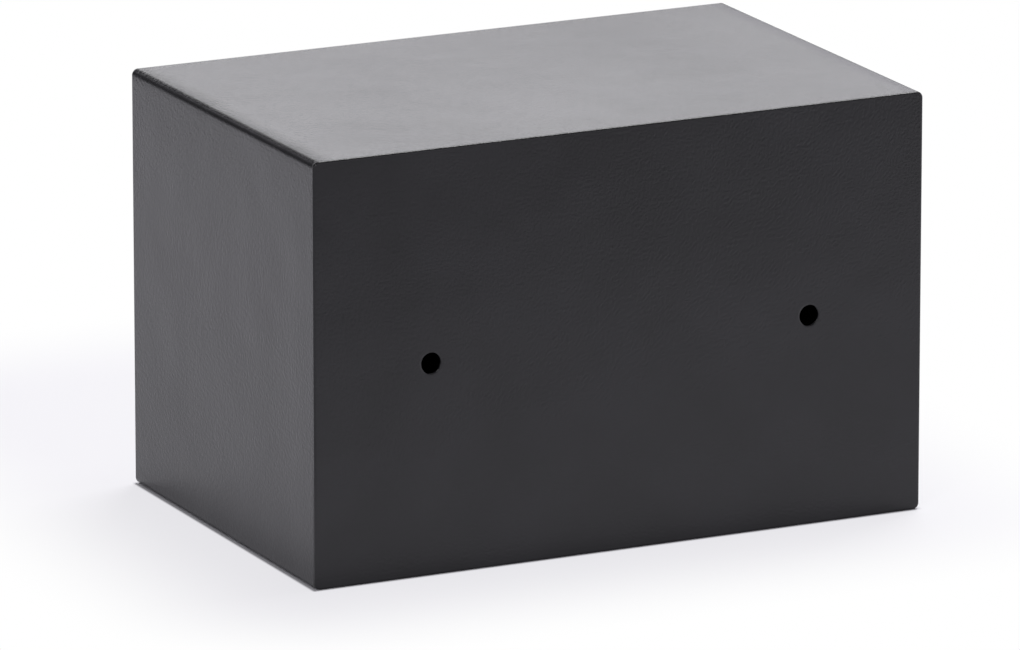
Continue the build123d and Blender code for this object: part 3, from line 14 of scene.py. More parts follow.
import bpy
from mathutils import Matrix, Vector


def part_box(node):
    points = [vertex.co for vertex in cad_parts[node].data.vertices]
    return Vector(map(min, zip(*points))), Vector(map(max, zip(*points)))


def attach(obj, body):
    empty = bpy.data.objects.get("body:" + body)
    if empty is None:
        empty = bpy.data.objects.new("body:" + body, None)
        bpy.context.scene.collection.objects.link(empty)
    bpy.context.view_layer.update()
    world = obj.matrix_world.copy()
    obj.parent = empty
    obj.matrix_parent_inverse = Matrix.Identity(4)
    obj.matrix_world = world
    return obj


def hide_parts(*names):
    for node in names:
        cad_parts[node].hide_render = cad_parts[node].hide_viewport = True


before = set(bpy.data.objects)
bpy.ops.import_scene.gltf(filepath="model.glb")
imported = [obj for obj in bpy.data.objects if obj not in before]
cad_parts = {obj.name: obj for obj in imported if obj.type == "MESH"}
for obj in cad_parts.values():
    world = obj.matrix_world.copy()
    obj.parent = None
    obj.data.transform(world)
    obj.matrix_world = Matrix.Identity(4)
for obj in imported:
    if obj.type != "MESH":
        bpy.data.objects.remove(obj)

LOG = logging.getLogger("safe")
IMAGE_WIDTH = 1020

Span = tuple[float, float]
Triple = tuple[float, float, float]
Colour = Triple
Socket = bpy.types.NodeSocket
Node = bpy.types.Node
Item = bpy.types.Object

NOTHING: Triple = (0.0, 0.0, 0.0)
STOOD_UP: Triple = (math.pi / 2, 0.0, 0.0)


class Grain(Enum):
    """Which way the tool marks of a metal run, as the stretch of its pattern on X, Y and Z."""

    TURNED = (1.0, 1.0, 1.0)
    ALONG_X = (0.04, 1.0, 1.0)
    ALONG_Y = (1.0, 0.04, 1.0)
    ALONG_Z = (1.0, 1.0, 0.04)


def shown(colour: Colour | Socket) -> object:
    """Give a colour with an alpha of 1, or an output socket as it is."""
    return colour if isinstance(colour, Socket) else (*colour, 1.0)


class Graph:
    """A node tree that is being wired."""

    def __init__(self, tree: bpy.types.NodeTree) -> None:
        """Keep the tree of a material, a world or a group."""
        self.tree = tree

    def join(self, value: object, socket: Socket) -> None:
        """Feed a socket from an output, or set its value.

        Args:
            value: an output socket, or a plain value.
            socket: the input socket that takes it.
        """
        if isinstance(value, Socket):
            self.tree.links.new(value, socket)
        else:
            socket.default_value = value

    def add(self, kind: str, inputs: dict[str | int, object] | None = None, **settings: object) -> Node:
        """Add one node.

        Args:
            kind: the node's type name.
            inputs: values or output sockets by input name or number.
            settings: attributes of the node, such as its operation.

        Returns:
            The new node.
        """
        node = self.tree.nodes.new(kind)
        for name, value in settings.items():
            setattr(node, name, value)
        for name, value in (inputs or {}).items():
            self.join(value, node.inputs[name])
        return node

    def math(self, operation: str, first: object, second: object = 0.0, clamp: bool = False) -> Socket:
        """Give the result of a Math node, kept from 0 to 1 where it is clamped."""
        node = self.add("ShaderNodeMath", {0: first, 1: second}, operation=operation, use_clamp=clamp)
        return node.outputs[0]

    def vector(self, operation: str, first: object, second: object = NOTHING) -> Socket:
        """Give the vector that a Vector Math node puts out, or its number where it has only that."""
        node = self.add("ShaderNodeVectorMath", {0: first, 1: second}, operation=operation)
        return node.outputs["Value" if operation in ("DOT_PRODUCT", "LENGTH") else "Vector"]

    def blend_colour(self, share: object, first: Colour | Socket, second: Colour | Socket) -> Socket:
        """Mix two colours by the share of the second."""
        node = self.add("ShaderNodeMix", {0: share, 6: shown(first), 7: shown(second)}, data_type="RGBA")
        return node.outputs[2]

    def blend_value(self, share: object, low: object, high: object) -> Socket:
        """Mix two numbers by the share of the second."""
        return self.add("ShaderNodeMix", {0: share, 2: low, 3: high}, data_type="FLOAT").outputs[0]

    def span(self, value: object, start: float, end: float, low: float = 0.0, high: float = 1.0) -> Socket:
        """Give low where a number is at the start, high at the end, and a smooth change between."""
        inputs = {"Value": value, "From Min": start, "From Max": end, "To Min": low, "To Max": high}
        return self.add("ShaderNodeMapRange", inputs, interpolation_type="SMOOTHSTEP").outputs["Result"]

    def here(self) -> Socket:
        """Give the object coordinates."""
        return self.add("ShaderNodeTexCoord").outputs["Object"]

    def axes(self) -> tuple[Socket, ...]:
        """Give the object coordinates on X, Y and Z."""
        return tuple(self.add("ShaderNodeSeparateXYZ", {0: self.here()}).outputs)

    def noise(self, place: Socket, scale: object, detail: object) -> Socket:
        """Give the value of a noise texture."""
        return self.add("ShaderNodeTexNoise", {"Vector": place, "Scale": scale, "Detail": detail}).outputs["Fac"]


class Effects:
    """The effects that several finishes share, each one node group built once."""

    WEAR_GAIN = 5.0
    WEAR_DETAIL = 3.0
    WEAR_BREAKUP: Span = (0.38, 0.62)
    WEAR_SAMPLES = 8
    MOTTLE_DETAIL = 4.0
    MOTTLE_SPAN: Span = (0.3, 0.7)

    def __init__(self) -> None:
        """Build every group."""
        self.edge_wear_and_highlight = self._edge_wear_and_highlight()
        self.speckle = self._speckle()
        self.mottle = self._mottle()
        self.nibs = self._nibs()

    @staticmethod
    def _group(
        name: str, inputs: dict[str, float], outputs: dict[str, str]
    ) -> tuple[Graph, Sequence[Socket], Node]:
        """Start a node group.

        Args:
            name: the group's name.
            inputs: its number inputs and their defaults.
            outputs: its outputs and their socket types.

        Returns:
            The group's graph, the sockets that its inputs arrive at, and its output node.
        """
        tree = bpy.data.node_groups.new(name, "ShaderNodeTree")
        for label, value in inputs.items():
            tree.interface.new_socket(label, in_out="INPUT", socket_type="NodeSocketFloat").default_value = value
        for label, kind in outputs.items():
            tree.interface.new_socket(label, in_out="OUTPUT", socket_type=kind)
        graph = Graph(tree)
        return graph, graph.add("NodeGroupInput").outputs, graph.add("NodeGroupOutput")

    def _edge_wear_and_highlight(self) -> bpy.types.NodeTree:
        """Build the worn edges, which the powder coat also lightens as a painted highlight.

        Returns:
            The group, which puts out a mask on the edges and a normal that rounds them.
        """
        graph, source, result = self._group(
            "edge_wear_and_highlight", {"Radius": 0.0004, "Breakup": 260.0},
            {"Mask": "NodeSocketFloat", "Normal": "NodeSocketVector"},
        )
        bevel = graph.add("ShaderNodeBevel", {"Radius": source["Radius"]}, samples=self.WEAR_SAMPLES)
        rounded = bevel.outputs["Normal"]
        flat = graph.add("ShaderNodeNewGeometry").outputs["Normal"]
        turned = graph.math("SUBTRACT", 1.0, graph.vector("DOT_PRODUCT", rounded, flat))
        edge = graph.math("MULTIPLY", turned, self.WEAR_GAIN, clamp=True)
        broken = graph.span(graph.noise(graph.here(), source["Breakup"], self.WEAR_DETAIL), *self.WEAR_BREAKUP)
        graph.join(graph.math("MULTIPLY", edge, broken), result.inputs["Mask"])
        graph.join(rounded, result.inputs["Normal"])
        return graph.tree

    def _speckle(self) -> bpy.types.NodeTree:
        """Build the fine texture of a coat or a moulding.

        Returns:
            The group, which puts out a height.
        """
        graph, source, result = self._group(
            "speckle", {"Scale": 900.0, "Detail": 2.0}, {"Height": "NodeSocketFloat"}
        )
        graph.join(graph.noise(graph.here(), source["Scale"], source["Detail"]), result.inputs["Height"])
        return graph.tree

    def _mottle(self) -> bpy.types.NodeTree:
        """Build a slow change from place to place.

        Returns:
            The group, which puts out a value from the low to the high one.
        """
        graph, source, result = self._group(
            "mottle", {"Scale": 12.0, "Low": 0.3, "High": 0.4}, {"Value": "NodeSocketFloat"}
        )
        share = graph.span(graph.noise(graph.here(), source["Scale"], self.MOTTLE_DETAIL), *self.MOTTLE_SPAN)
        graph.join(graph.blend_value(share, source["Low"], source["High"]), result.inputs["Value"])
        return graph.tree

    def _nibs(self) -> bpy.types.NodeTree:
        """Build the odd specks of grit under a coat.

        Returns:
            The group, which puts out a height.
        """
        graph, source, result = self._group(
            "nibs", {"Scale": 55.0, "Size": 0.05, "Share": 0.06}, {"Height": "NodeSocketFloat"}
        )
        cells = graph.add("ShaderNodeTexVoronoi", {"Vector": graph.here(), "Scale": source["Scale"]})
        chosen = graph.add("ShaderNodeSeparateColor", {0: cells.outputs["Color"]}).outputs["Red"]
        rare = graph.math("LESS_THAN", chosen, source["Share"])
        near = graph.math("SUBTRACT", 1.0, graph.math("DIVIDE", cells.outputs["Distance"], source["Size"]))
        graph.join(graph.math("MULTIPLY", graph.math("MAXIMUM", near, 0.0), rare), result.inputs["Height"])
        return graph.tree


class Surface(Graph):
    """A new material's graph round its one shader, with the shared effects at hand."""

    def __init__(self, name: str, effects: Effects | None = None) -> None:
        """Start the material.

        Args:
            name: the material's name.
            effects: the shared node groups, where it uses them.
        """
        self.material = bpy.data.materials.new(name)
        self.material.use_nodes = True
        super().__init__(self.material.node_tree)
        self.shader = self.tree.nodes["Principled BSDF"]
        self.effects = effects

    def feed(self, inputs: dict[str, object]) -> None:
        """Feed the shader's inputs by name."""
        for name, value in inputs.items():
            self.join(value, self.shader.inputs[name])

    def worn(self, radius: float, breakup: float) -> tuple[Socket, Socket]:
        """Give the mask of the worn edges, on the coat also a painted highlight, and the normal that rounds
        them.
        """
        inputs = {"Radius": radius, "Breakup": breakup}
        return tuple(self.add("ShaderNodeGroup", inputs, node_tree=self.effects.edge_wear_and_highlight).outputs)

    def mottle(self, scale: float, low: float = 0.0, high: float = 1.0) -> Socket:
        """Give a number that changes slowly from place to place."""
        inputs = {"Scale": scale, "Low": low, "High": high}
        return self.add("ShaderNodeGroup", inputs, node_tree=self.effects.mottle).outputs[0]

    def speckle(self, scale: float, detail: float) -> Socket:
        """Give the height of a fine texture."""
        inputs = {"Scale": scale, "Detail": detail}
        return self.add("ShaderNodeGroup", inputs, node_tree=self.effects.speckle).outputs[0]

    def bump(self, distance: float, height: object, normal: Socket | None = None) -> Socket:
        """Give the normal that a height makes, on another normal where one is given."""
        under = {} if normal is None else {"Normal": normal}
        return self.add("ShaderNodeBump", {"Distance": distance, "Height": height, **under}).outputs[0]

    def mapped(self, **changes: Triple) -> Socket:
        """Give the object coordinates turned or scaled."""
        return self.add("ShaderNodeMapping", {"Vector": self.here(), **changes}).outputs[0]

    def bricks(self, colour: Colour, line: Colour, sizes: dict[str, float], **settings: float) -> Node:
        """Lay an upright grid of lines on a plain colour, with its sizes by input name."""
        inputs = {"Color1": shown(colour), "Color2": shown(colour), "Mortar": shown(line), **sizes}
        return self.add("ShaderNodeTexBrick", {"Vector": self.mapped(Rotation=STOOD_UP), **inputs}, **settings)


@dataclass(frozen=True)
class Finish:
    """A finish that several pieces can wear. Each kind writes its own nodes."""

    name: str
    colour: Colour

    def make(self, effects: Effects) -> bpy.types.Material:
        """Build the material.

        Args:
            effects: the shared node groups.

        Returns:
            The finished material.
        """
        surface = Surface(self.name, effects)
        surface.material.diffuse_color = shown(self.colour)
        self.write(surface)
        return surface.material

    def write(self, surface: Surface) -> None:
        """Write this finish's nodes on a new material."""
        raise NotImplementedError

    def times(self, gain: float, lift: float = 0.0) -> Colour:
        """Give the colour brighter or darker, and no brighter than 1."""
        return tuple(min(1.0, channel * gain + lift) for channel in self.colour)


@dataclass(frozen=True)
class PowderCoat(Finish):
    """Satin powder coat on sheet steel: orange peel, slow changes of gloss, edges lightened as wear and as a
    painted highlight, a few nibs.
    """

    roughness: Span = (0.20, 0.24)
    gloss_scale: float = 9.0
    specular: float = 0.44
    smudge: float = 0.6
    smudge_scale: float = 23.0
    edge_radius: float = 0.0005
    edge_breakup: float = 310.0
    # Lighter edge colour: partly worn coat, partly a painted highlight along the edges.
    worn_and_highlit_edge_share: float = 0.55
    worn_and_highlit_edge_colour: Colour = (0.04, 0.04, 0.043)
    wave_scale: float = 22.0
    wave_detail: float = 1.0
    wave_height: float = 0.0005
    peel_scale: float = 720.0
    peel_detail: float = 2.0
    peel_height: float = 0.00016
    nib_height: float = 0.00012
    rolled: bool = False
    roll_from: Span = (0.1425, 0.0938)
    roll_bend: float = 9.0
    middle_z: float = 0.1

    def write(self, surface: Surface) -> None:
        """Write the coat's nodes.

        Args:
            surface: the material's graph.
        """
        mask, normal = surface.worn(self.edge_radius, self.edge_breakup)
        coat = surface.blend_colour(surface.mottle(self.smudge_scale), self.times(self.smudge), self.colour)
        # Painted highlight mixed with wear: the edges take the lighter colour.
        worn_and_highlit_edges = surface.math("MULTIPLY", mask, self.worn_and_highlit_edge_share)
        if self.rolled:
            normal = surface.bump(1.0, self._roll(surface), normal)
        for distance, height in (
            (self.wave_height, surface.speckle(self.wave_scale, self.wave_detail)),
            (self.peel_height, surface.speckle(self.peel_scale, self.peel_detail)),
            (self.nib_height, surface.add("ShaderNodeGroup", node_tree=surface.effects.nibs).outputs[0]),
        ):
            normal = surface.bump(distance, height, normal)
        surface.feed({
            "Base Color": surface.blend_colour(worn_and_highlit_edges, coat, self.worn_and_highlit_edge_colour),
            "Roughness": surface.mottle(self.gloss_scale, *self.roughness),
            "Specular IOR Level": self.specular,
            "Normal": normal,
        })

    def _roll(self, surface: Surface) -> Socket:
        """Give the height of the sheet where it rolls over into a bend.

        Args:
            surface: the material's graph.

        Returns:
            The height in metres, 0 on the flat and falling towards the bend.
        """
        across, _, up = surface.axes()
        squares = []
        for off, start in zip((across, surface.math("SUBTRACT", up, self.middle_z)), self.roll_from):
            past = surface.math("SUBTRACT", surface.math("ABSOLUTE", off), start)
            fall = surface.math("MAXIMUM", past, 0.0)
            squares.append(surface.math("MULTIPLY", surface.math("MULTIPLY", fall, fall), self.roll_bend))
        return surface.math("MULTIPLY", surface.math("ADD", *squares), -1.0)


@dataclass(frozen=True)
class Felt(Finish):
    """Needled felt: tangled fibres in two greys, and a soft sheen."""

    fibre: Colour = (0.19, 0.19, 0.20)
    fibre_scale: float = 1500.0
    fibre_detail: float = 6.0
    fibre_span: Span = (0.4, 0.65)
    tuft_scale: float = 210.0
    tuft_detail: float = 4.0
    pile_height: float = 0.0004
    roughness: float = 0.95
    sheen: float = 0.35
    sheen_roughness: float = 0.6

    def write(self, surface: Surface) -> None:
        """Write the felt's nodes.

        Args:
            surface: the material's graph.
        """
        fine = surface.speckle(self.fibre_scale, self.fibre_detail)
        tufts = surface.speckle(self.tuft_scale, self.tuft_detail)
        share = surface.math("MULTIPLY", surface.span(fine, *self.fibre_span), tufts)
        surface.feed({
            "Base Color": surface.blend_colour(share, self.colour, self.fibre),
            "Roughness": self.roughness,
            "Sheen Weight": self.sheen,
            "Sheen Roughness": self.sheen_roughness,
            "Normal": surface.bump(self.pile_height, surface.math("ADD", fine, tufts)),
        })


@dataclass(frozen=True)
class BareMetal(Finish):
    """Plated or bare metal with tool marks, cloudy plating and bright edges."""

    shade: Colour = (0.5, 0.5, 0.5)
    cloud_scale: float = 95.0
    roughness: Span = (0.24, 0.38)
    grain: Grain = Grain.TURNED
    grain_scale: float = 2600.0
    grain_detail: float = 2.0
    grain_height: float = 0.000006
    edge_radius: float = 0.00018
    edge_breakup: float = 420.0
    edge_gain: float = 1.15

    def write(self, surface: Surface) -> None:
        """Write the metal's nodes.

        Args:
            surface: the material's graph.
        """
        mask, normal = surface.worn(self.edge_radius, self.edge_breakup)
        metal = surface.blend_colour(surface.mottle(self.cloud_scale), self.shade, self.colour)
        marks = surface.noise(surface.mapped(Scale=self.grain.value), self.grain_scale, self.grain_detail)
        surface.feed({
            "Base Color": surface.blend_colour(mask, metal, self.times(self.edge_gain)),
            "Metallic": 1.0,
            "Roughness": surface.blend_value(marks, *self.roughness),
            "Normal": surface.bump(self.grain_height, marks, normal),
        })


@dataclass(frozen=True)
class Moulding(Finish):
    """Moulded plastic with a fine eroded texture."""

    roughness: Span = (0.42, 0.52)
    gloss_scale: float = 70.0
    coat: float = 0.0
    tone_scale: float = 40.0
    tone_depth: float = 0.85
    texture_scale: float = 1700.0
    texture_detail: float = 1.0
    texture_height: float = 0.00003
    edge_radius: float = 0.00025
    edge_breakup: float = 500.0
    edge_gain: float = 1.3
    edge_lift: float = 0.006

    def write(self, surface: Surface) -> None:
        """Write the plastic's nodes.

        Args:
            surface: the material's graph.
        """
        mask, normal = surface.worn(self.edge_radius, self.edge_breakup)
        plastic = surface.blend_colour(surface.mottle(self.tone_scale), self.times(self.tone_depth), self.colour)
        texture = surface.speckle(self.texture_scale, self.texture_detail)
        surface.feed({
            "Base Color": surface.blend_colour(mask, plastic, self.times(self.edge_gain, self.edge_lift)),
            "Roughness": surface.mottle(self.gloss_scale, *self.roughness),
            "Coat Weight": self.coat,
            "Normal": surface.bump(self.texture_height, texture, normal),
        })


@dataclass(frozen=True)
class MarkedMoulding(Moulding):
    """The knob's plastic, with a white pointer line filled into the groove on its face."""

    middle: Span = (0.05845, 0.1)
    mark_half_width: float = 0.0009
    mark_start: float = 0.0125
    face_y: float = -0.1215
    paint: Colour = (0.72, 0.72, 0.70)

    def write(self, surface: Surface) -> None:
        """Write the plastic's nodes, then lay the paint over them.

        Args:
            surface: the material's graph.
        """
        super().write(surface)
        across, depth, up = surface.axes()
        beside = surface.math("ABSOLUTE", surface.math("SUBTRACT", across, self.middle[0]))
        mask = surface.math("LESS_THAN", beside, self.mark_half_width)
        above = surface.math("GREATER_THAN", up, self.middle[1] + self.mark_start)
        for test in (above, surface.math("LESS_THAN", depth, self.face_y)):
            mask = surface.math("MULTIPLY", mask, test)
        plastic = surface.shader.inputs["Base Color"].links[0].from_socket
        surface.feed({"Base Color": surface.blend_colour(mask, plastic, self.paint)})


@dataclass(frozen=True)
class ReaderGlass(Finish):
    """Dark reader window: a fine sensing grid under a polished face."""

    line: Colour = (0.05, 0.06, 0.085)
    line_width: float = 0.03
    grid_scale: float = 900.0
    roughness: Span = (0.05, 0.2)
    smear_scale: float = 160.0
    coat_roughness: float = 0.04

    def write(self, surface: Surface) -> None:
        """Write the window's nodes.

        Args:
            surface: the material's graph.
        """
        sizes = {"Scale": self.grid_scale, "Mortar Size": self.line_width, "Brick Width": 1.0, "Row Height": 1.0}
        surface.feed({
            "Base Color": surface.bricks(self.colour, self.line, sizes, offset=0.0).outputs["Color"],
            "Roughness": surface.mottle(self.smear_scale, *self.roughness),
            "Coat Weight": 1.0,
            "Coat Roughness": self.coat_roughness,
        })


@dataclass(frozen=True)
class WoundWire(Finish):
    """Enamelled wire wound in close turns, with painted shade in the grooves between them."""

    # Painted shade: the darker colour of the grooves between the turns.
    gap: Colour = (0.22, 0.09, 0.04)
    pitch: float = 0.0006
    crest: Span = (-1.0, 0.6)
    crest_height: float = 0.0002
    patina: Span = (0.75, 1.0)
    patina_scale: float = 300.0
    roughness: float = 0.32

    def write(self, surface: Surface) -> None:
        """Write the winding's nodes.

        Args:
            surface: the material's graph.
        """
        turn = surface.math("SINE", surface.math("MULTIPLY", surface.axes()[2], math.tau / self.pitch))
        crest = surface.span(turn, *self.crest)
        # The wire darkens between its turns as painted shade; a random patina varies it a little.
        share = surface.math("MULTIPLY", crest, surface.mottle(self.patina_scale, *self.patina))
        surface.feed({
            "Base Color": surface.blend_colour(share, self.gap, self.colour),
            "Metallic": 1.0,
            "Roughness": self.roughness,
            "Normal": surface.bump(self.crest_height, crest),
        })


@dataclass(frozen=True)
class SolderMask(Finish):
    """Green board with copper tracks under its mask."""

    track: Colour = (0.04, 0.25, 0.11)
    track_scale: float = 160.0
    track_width: float = 0.04
    track_spacing: float = 1.6
    track_height: float = 0.00005
    cloud_scale: float = 60.0
    cloud_share: float = 0.25
    roughness: float = 0.28

    def write(self, surface: Surface) -> None:
        """Write the board's nodes.

        Args:
            surface: the material's graph.
        """
        sizes = {"Scale": self.track_scale, "Mortar Size": self.track_width, "Brick Width": self.track_spacing}
        tracks = surface.bricks(self.colour, self.track, sizes).outputs
        cloud = surface.mottle(self.cloud_scale, 0.0, self.cloud_share)
        surface.feed({
            "Base Color": surface.blend_colour(cloud, tracks["Color"], self.track),
            "Roughness": self.roughness,
            "Normal": surface.bump(self.track_height, tracks["Fac"]),
        })


@dataclass(frozen=True)
class CellSleeve(Finish):
    """Plain shrink sleeve of a dry cell, with bare metal at both of its ends."""

    metal: Colour = (0.62, 0.62, 0.60)
    low_z: float = 0.0
    high_z: float = 0.0
    end: float = 0.0014
    tone_scale: float = 55.0
    tone_gain: float = 1.35
    roughness: Span = (0.2, 0.32)
    gloss_scale: float = 80.0

    def write(self, surface: Surface) -> None:
        """Write the sleeve's nodes.

        Args:
            surface: the material's graph.
        """
        up = surface.axes()[2]
        top = surface.math("GREATER_THAN", up, self.high_z - 2 * self.end)
        bare = surface.math("MAXIMUM", top, surface.math("LESS_THAN", up, self.low_z + self.end))
        sleeve = surface.blend_colour(surface.mottle(self.tone_scale), self.colour, self.times(self.tone_gain))
        surface.feed({
            "Base Color": surface.blend_colour(bare, sleeve, self.metal),
            "Metallic": bare,
            "Roughness": surface.mottle(self.gloss_scale, *self.roughness),
        })


class Palette:
    """Every finish of the safe, made once and handed out by name."""

    COAT: Colour = (0.0110, 0.0107, 0.0130)
    ZINC: Colour = (0.64, 0.65, 0.68)
    DULL_ZINC: Colour = (0.52, 0.54, 0.57)
    STEEL: Colour = (0.70, 0.70, 0.71)
    DULL_STEEL: Colour = (0.62, 0.62, 0.62)

    def __init__(self, effects: Effects) -> None:
        """Make the finishes.

        Args:
            effects: the shared node groups.
        """
        low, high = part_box("batteries")
        finishes = (
            PowderCoat("wrap_coat", self.COAT, rolled=True),
            PowderCoat("sheet_coat", self.COAT),
            PowderCoat("plate_coat", self.COAT, edge_radius=0.0015, worn_and_highlit_edge_colour=(0.018, 0.018, 0.019)),
            PowderCoat("inner_coat", self.COAT, roughness=(0.28, 0.34)),
            Felt("grey_felt", (0.075, 0.076, 0.082)),
            BareMetal("brass", (0.72, 0.54, 0.27), (0.60, 0.43, 0.19)),
            BareMetal("zinc_steel", self.ZINC, self.DULL_ZINC, grain=Grain.ALONG_X),
            BareMetal("bolt_steel", self.STEEL, self.DULL_STEEL, roughness=(0.16, 0.30), grain=Grain.ALONG_X),
            BareMetal("pin_steel", self.STEEL, self.DULL_STEEL, roughness=(0.18, 0.30), grain=Grain.ALONG_Y),
            BareMetal("upright_zinc", self.ZINC, self.DULL_ZINC, grain=Grain.ALONG_Z),
            BareMetal("satin_nickel", (0.72, 0.71, 0.69), (0.64, 0.63, 0.60), roughness=(0.14, 0.24)),
            Moulding("black_plastic", (0.018, 0.018, 0.019)),
            MarkedMoulding("knob_plastic", (0.016, 0.016, 0.017), (0.36, 0.44)),
            Moulding("white_plastic", (0.78, 0.77, 0.72), (0.35, 0.42)),
            Moulding("red_plastic", (0.55, 0.02, 0.02), (0.22, 0.3), coat=0.4),
            Moulding("lens_plastic", (0.68, 0.72, 0.75), (0.2, 0.28), coat=0.5),
            Moulding("lead_sleeve", (0.25, 0.015, 0.015), (0.4, 0.5)),
            ReaderGlass("reader_glass", (0.010, 0.014, 0.024)),
            WoundWire("copper_wire", (0.75, 0.38, 0.21)),
            SolderMask("green_board", (0.012, 0.12, 0.05)),
            CellSleeve("cell_sleeve", (0.07, 0.08, 0.095), low_z=low.z, high_z=high.z),
        )
        self.materials = {finish.name: finish.make(effects) for finish in finishes}

    def wear(self, item: Item, finish: str) -> None:
        """Give an object one finish all over."""
        item.data.materials.clear()
        item.data.materials.append(self.materials[finish])


def deselect() -> None:
    """Leave nothing selected, in object mode."""
    if bpy.context.mode != "OBJECT":
        bpy.ops.object.mode_set(mode="OBJECT")
    bpy.ops.object.select_all(action="DESELECT")


def select_only(item: Item) -> None:
    """Select one object alone and make it the active one.

    Args:
        item: the object.
    """
    deselect()
    item.select_set(True)
    bpy.context.view_layer.objects.active = item


def name_active(label: str) -> Item:
    """Name the active object and its mesh, and give the object."""
    bpy.context.object.name = bpy.context.object.data.name = label
    return bpy.context.object


def open_edit(item: Item) -> None:
    """Open one object in edit mode with nothing in it selected.

    Args:
        item: the object.
    """
    select_only(item)
    bpy.ops.object.mode_set(mode="EDIT")
    bpy.ops.mesh.select_all(action="DESELECT")


def add_block(label: str, place: Vector, size: Sequence[float]) -> Item:
    """Add a block, and leave it in edit mode.

    Args:
        label: its name.
        place: its middle.
        size: its size on X, Y and Z.

    Returns:
        The block.
    """
    deselect()
    bpy.ops.mesh.primitive_cube_add(size=1.0, location=place)
    item = name_active(label)
    open_edit(item)
    bpy.ops.mesh.select_all(action="SELECT")
    bpy.ops.transform.resize(value=size, center_override=place)
    return item


def pick_faces(item: Item, wanted: Callable[[bpy.types.MeshPolygon], bool]) -> None:
    """Select the faces that pass a test, and stay in edit mode.

    Args:
        item: the object in edit mode.
        wanted: says whether a face is selected.
    """
    bpy.ops.mesh.select_mode(type="FACE")
    bpy.ops.mesh.select_all(action="DESELECT")
    bpy.ops.object.mode_set(mode="OBJECT")
    for face in item.data.polygons:
        face.select = wanted(face)
    bpy.ops.object.mode_set(mode="EDIT")


def apply_modifier(item: Item, kind: str, **settings: object) -> None:
    """Add a modifier, set it and apply it.

    Args:
        item: the object.
        kind: the modifier's type.
        settings: its settings.
    """
    select_only(item)
    modifier = item.modifiers.new(kind.lower(), kind)
    for name, value in settings.items():
        setattr(modifier, name, value)
    bpy.ops.object.modifier_apply(modifier=modifier.name)


def settle(item: Item, angle: float) -> None:
    """Put the object's place in its mesh, and smooth what is nearly flat.

    Args:
        item: the object.
        angle: the largest angle that is smoothed, in degrees.
    """
    select_only(item)
    bpy.ops.object.transform_apply(location=True, rotation=True, scale=True)
    bpy.ops.object.shade_smooth_by_angle(angle=math.radians(angle))


def copy_moved(item: Item, offset: Vector) -> Item:
    """Copy an object with a mesh of its own, and move the copy.

    Args:
        item: the object.
        offset: how far the copy moves.

    Returns:
        The copy.
    """
    select_only(item)
    bpy.ops.object.duplicate(linked=False)
    bpy.ops.transform.translate(value=offset)
    return bpy.context.object


def spread(label: str, item: Item, offsets: Sequence[Vector]) -> Item:
    """Copy an object to other places, and join it with its copies.

    Args:
        label: the joined piece's name.
        item: the object.
        offsets: how far each copy moves.

    Returns:
        The joined piece.
    """
    items = [item] + [copy_moved(item, offset) for offset in offsets]
    deselect()
    for one in items:
        one.select_set(True)
    bpy.context.view_layer.objects.active = item
    bpy.ops.object.join()
    return name_active(label)


def cut_away(item: Item, tools: Sequence[Item]) -> None:
    """Cut one object with others, which are then removed.

    Args:
        item: the object.
        tools: the objects that are cut away.
    """
    for tool in tools:
        apply_modifier(item, "BOOLEAN", operation="DIFFERENCE", solver="EXACT", object=tool)
    for tool in tools:
        bpy.data.objects.remove(tool)


@dataclass
class FeltMat:
    """The loose felt mat on the safe's floor, with a clearance hole over each floor anchor hole."""

    hole_radius: float = 0.0065
    hole_spacing: float = 0.150
    hole_sides: int = 64
    corner_radius: float = 0.003
    edge_round: float = 0.0007
    edge_angle: float = 50.0
    smooth_angle: float = 60.0

    def build(self, palette: Palette) -> Item:
        """Model the mat.

        Args:
            palette: the finishes.

        Returns:
            The mat.
        """
        low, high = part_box("floor_mat")
        size, middle = high - low, (low + high) / 2
        mat = add_block("felt_mat", middle, size)
        self._round_corners(mat)
        self._punch_holes(mat, middle, size)
        angle = math.radians(self.edge_angle)
        apply_modifier(mat, "BEVEL", width=self.edge_round, segments=3, limit_method="ANGLE", angle_limit=angle)
        settle(mat, self.smooth_angle)
        palette.wear(mat, "grey_felt")
        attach(mat, "cabinet")
        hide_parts("floor_mat")
        return mat

    def _round_corners(self, mat: Item) -> None:
        """Round the mat's four upright corners.

        Args:
            mat: the mat, in edit mode.
        """
        bpy.ops.mesh.select_mode(type="EDGE")
        bpy.ops.mesh.select_all(action="DESELECT")
        bpy.ops.object.mode_set(mode="OBJECT")
        points = mat.data.vertices
        for edge in mat.data.edges:
            first, second = (points[i].co for i in edge.vertices)
            edge.select = abs(first.z - second.z) > abs(first.x - second.x) + abs(first.y - second.y)
        bpy.ops.object.mode_set(mode="EDIT")
        bpy.ops.mesh.bevel(offset=self.corner_radius, segments=6, affect="EDGES")
        bpy.ops.object.mode_set(mode="OBJECT")

    def _punch_holes(self, mat: Item, middle: Vector, size: Vector) -> None:
        """Punch the two clearance holes.

        Args:
            mat: the mat.
            middle: the middle of the mat.
            size: the mat's size.
        """
        deselect()
        bpy.ops.mesh.primitive_cylinder_add(
            vertices=self.hole_sides, radius=self.hole_radius, depth=size.z * 3,
            location=(-self.hole_spacing / 2, 0.0, middle.z),
        )
        punch = name_active("punch")
        cut_away(mat, [punch, copy_moved(punch, Vector((self.hole_spacing, 0.0, 0.0)))])


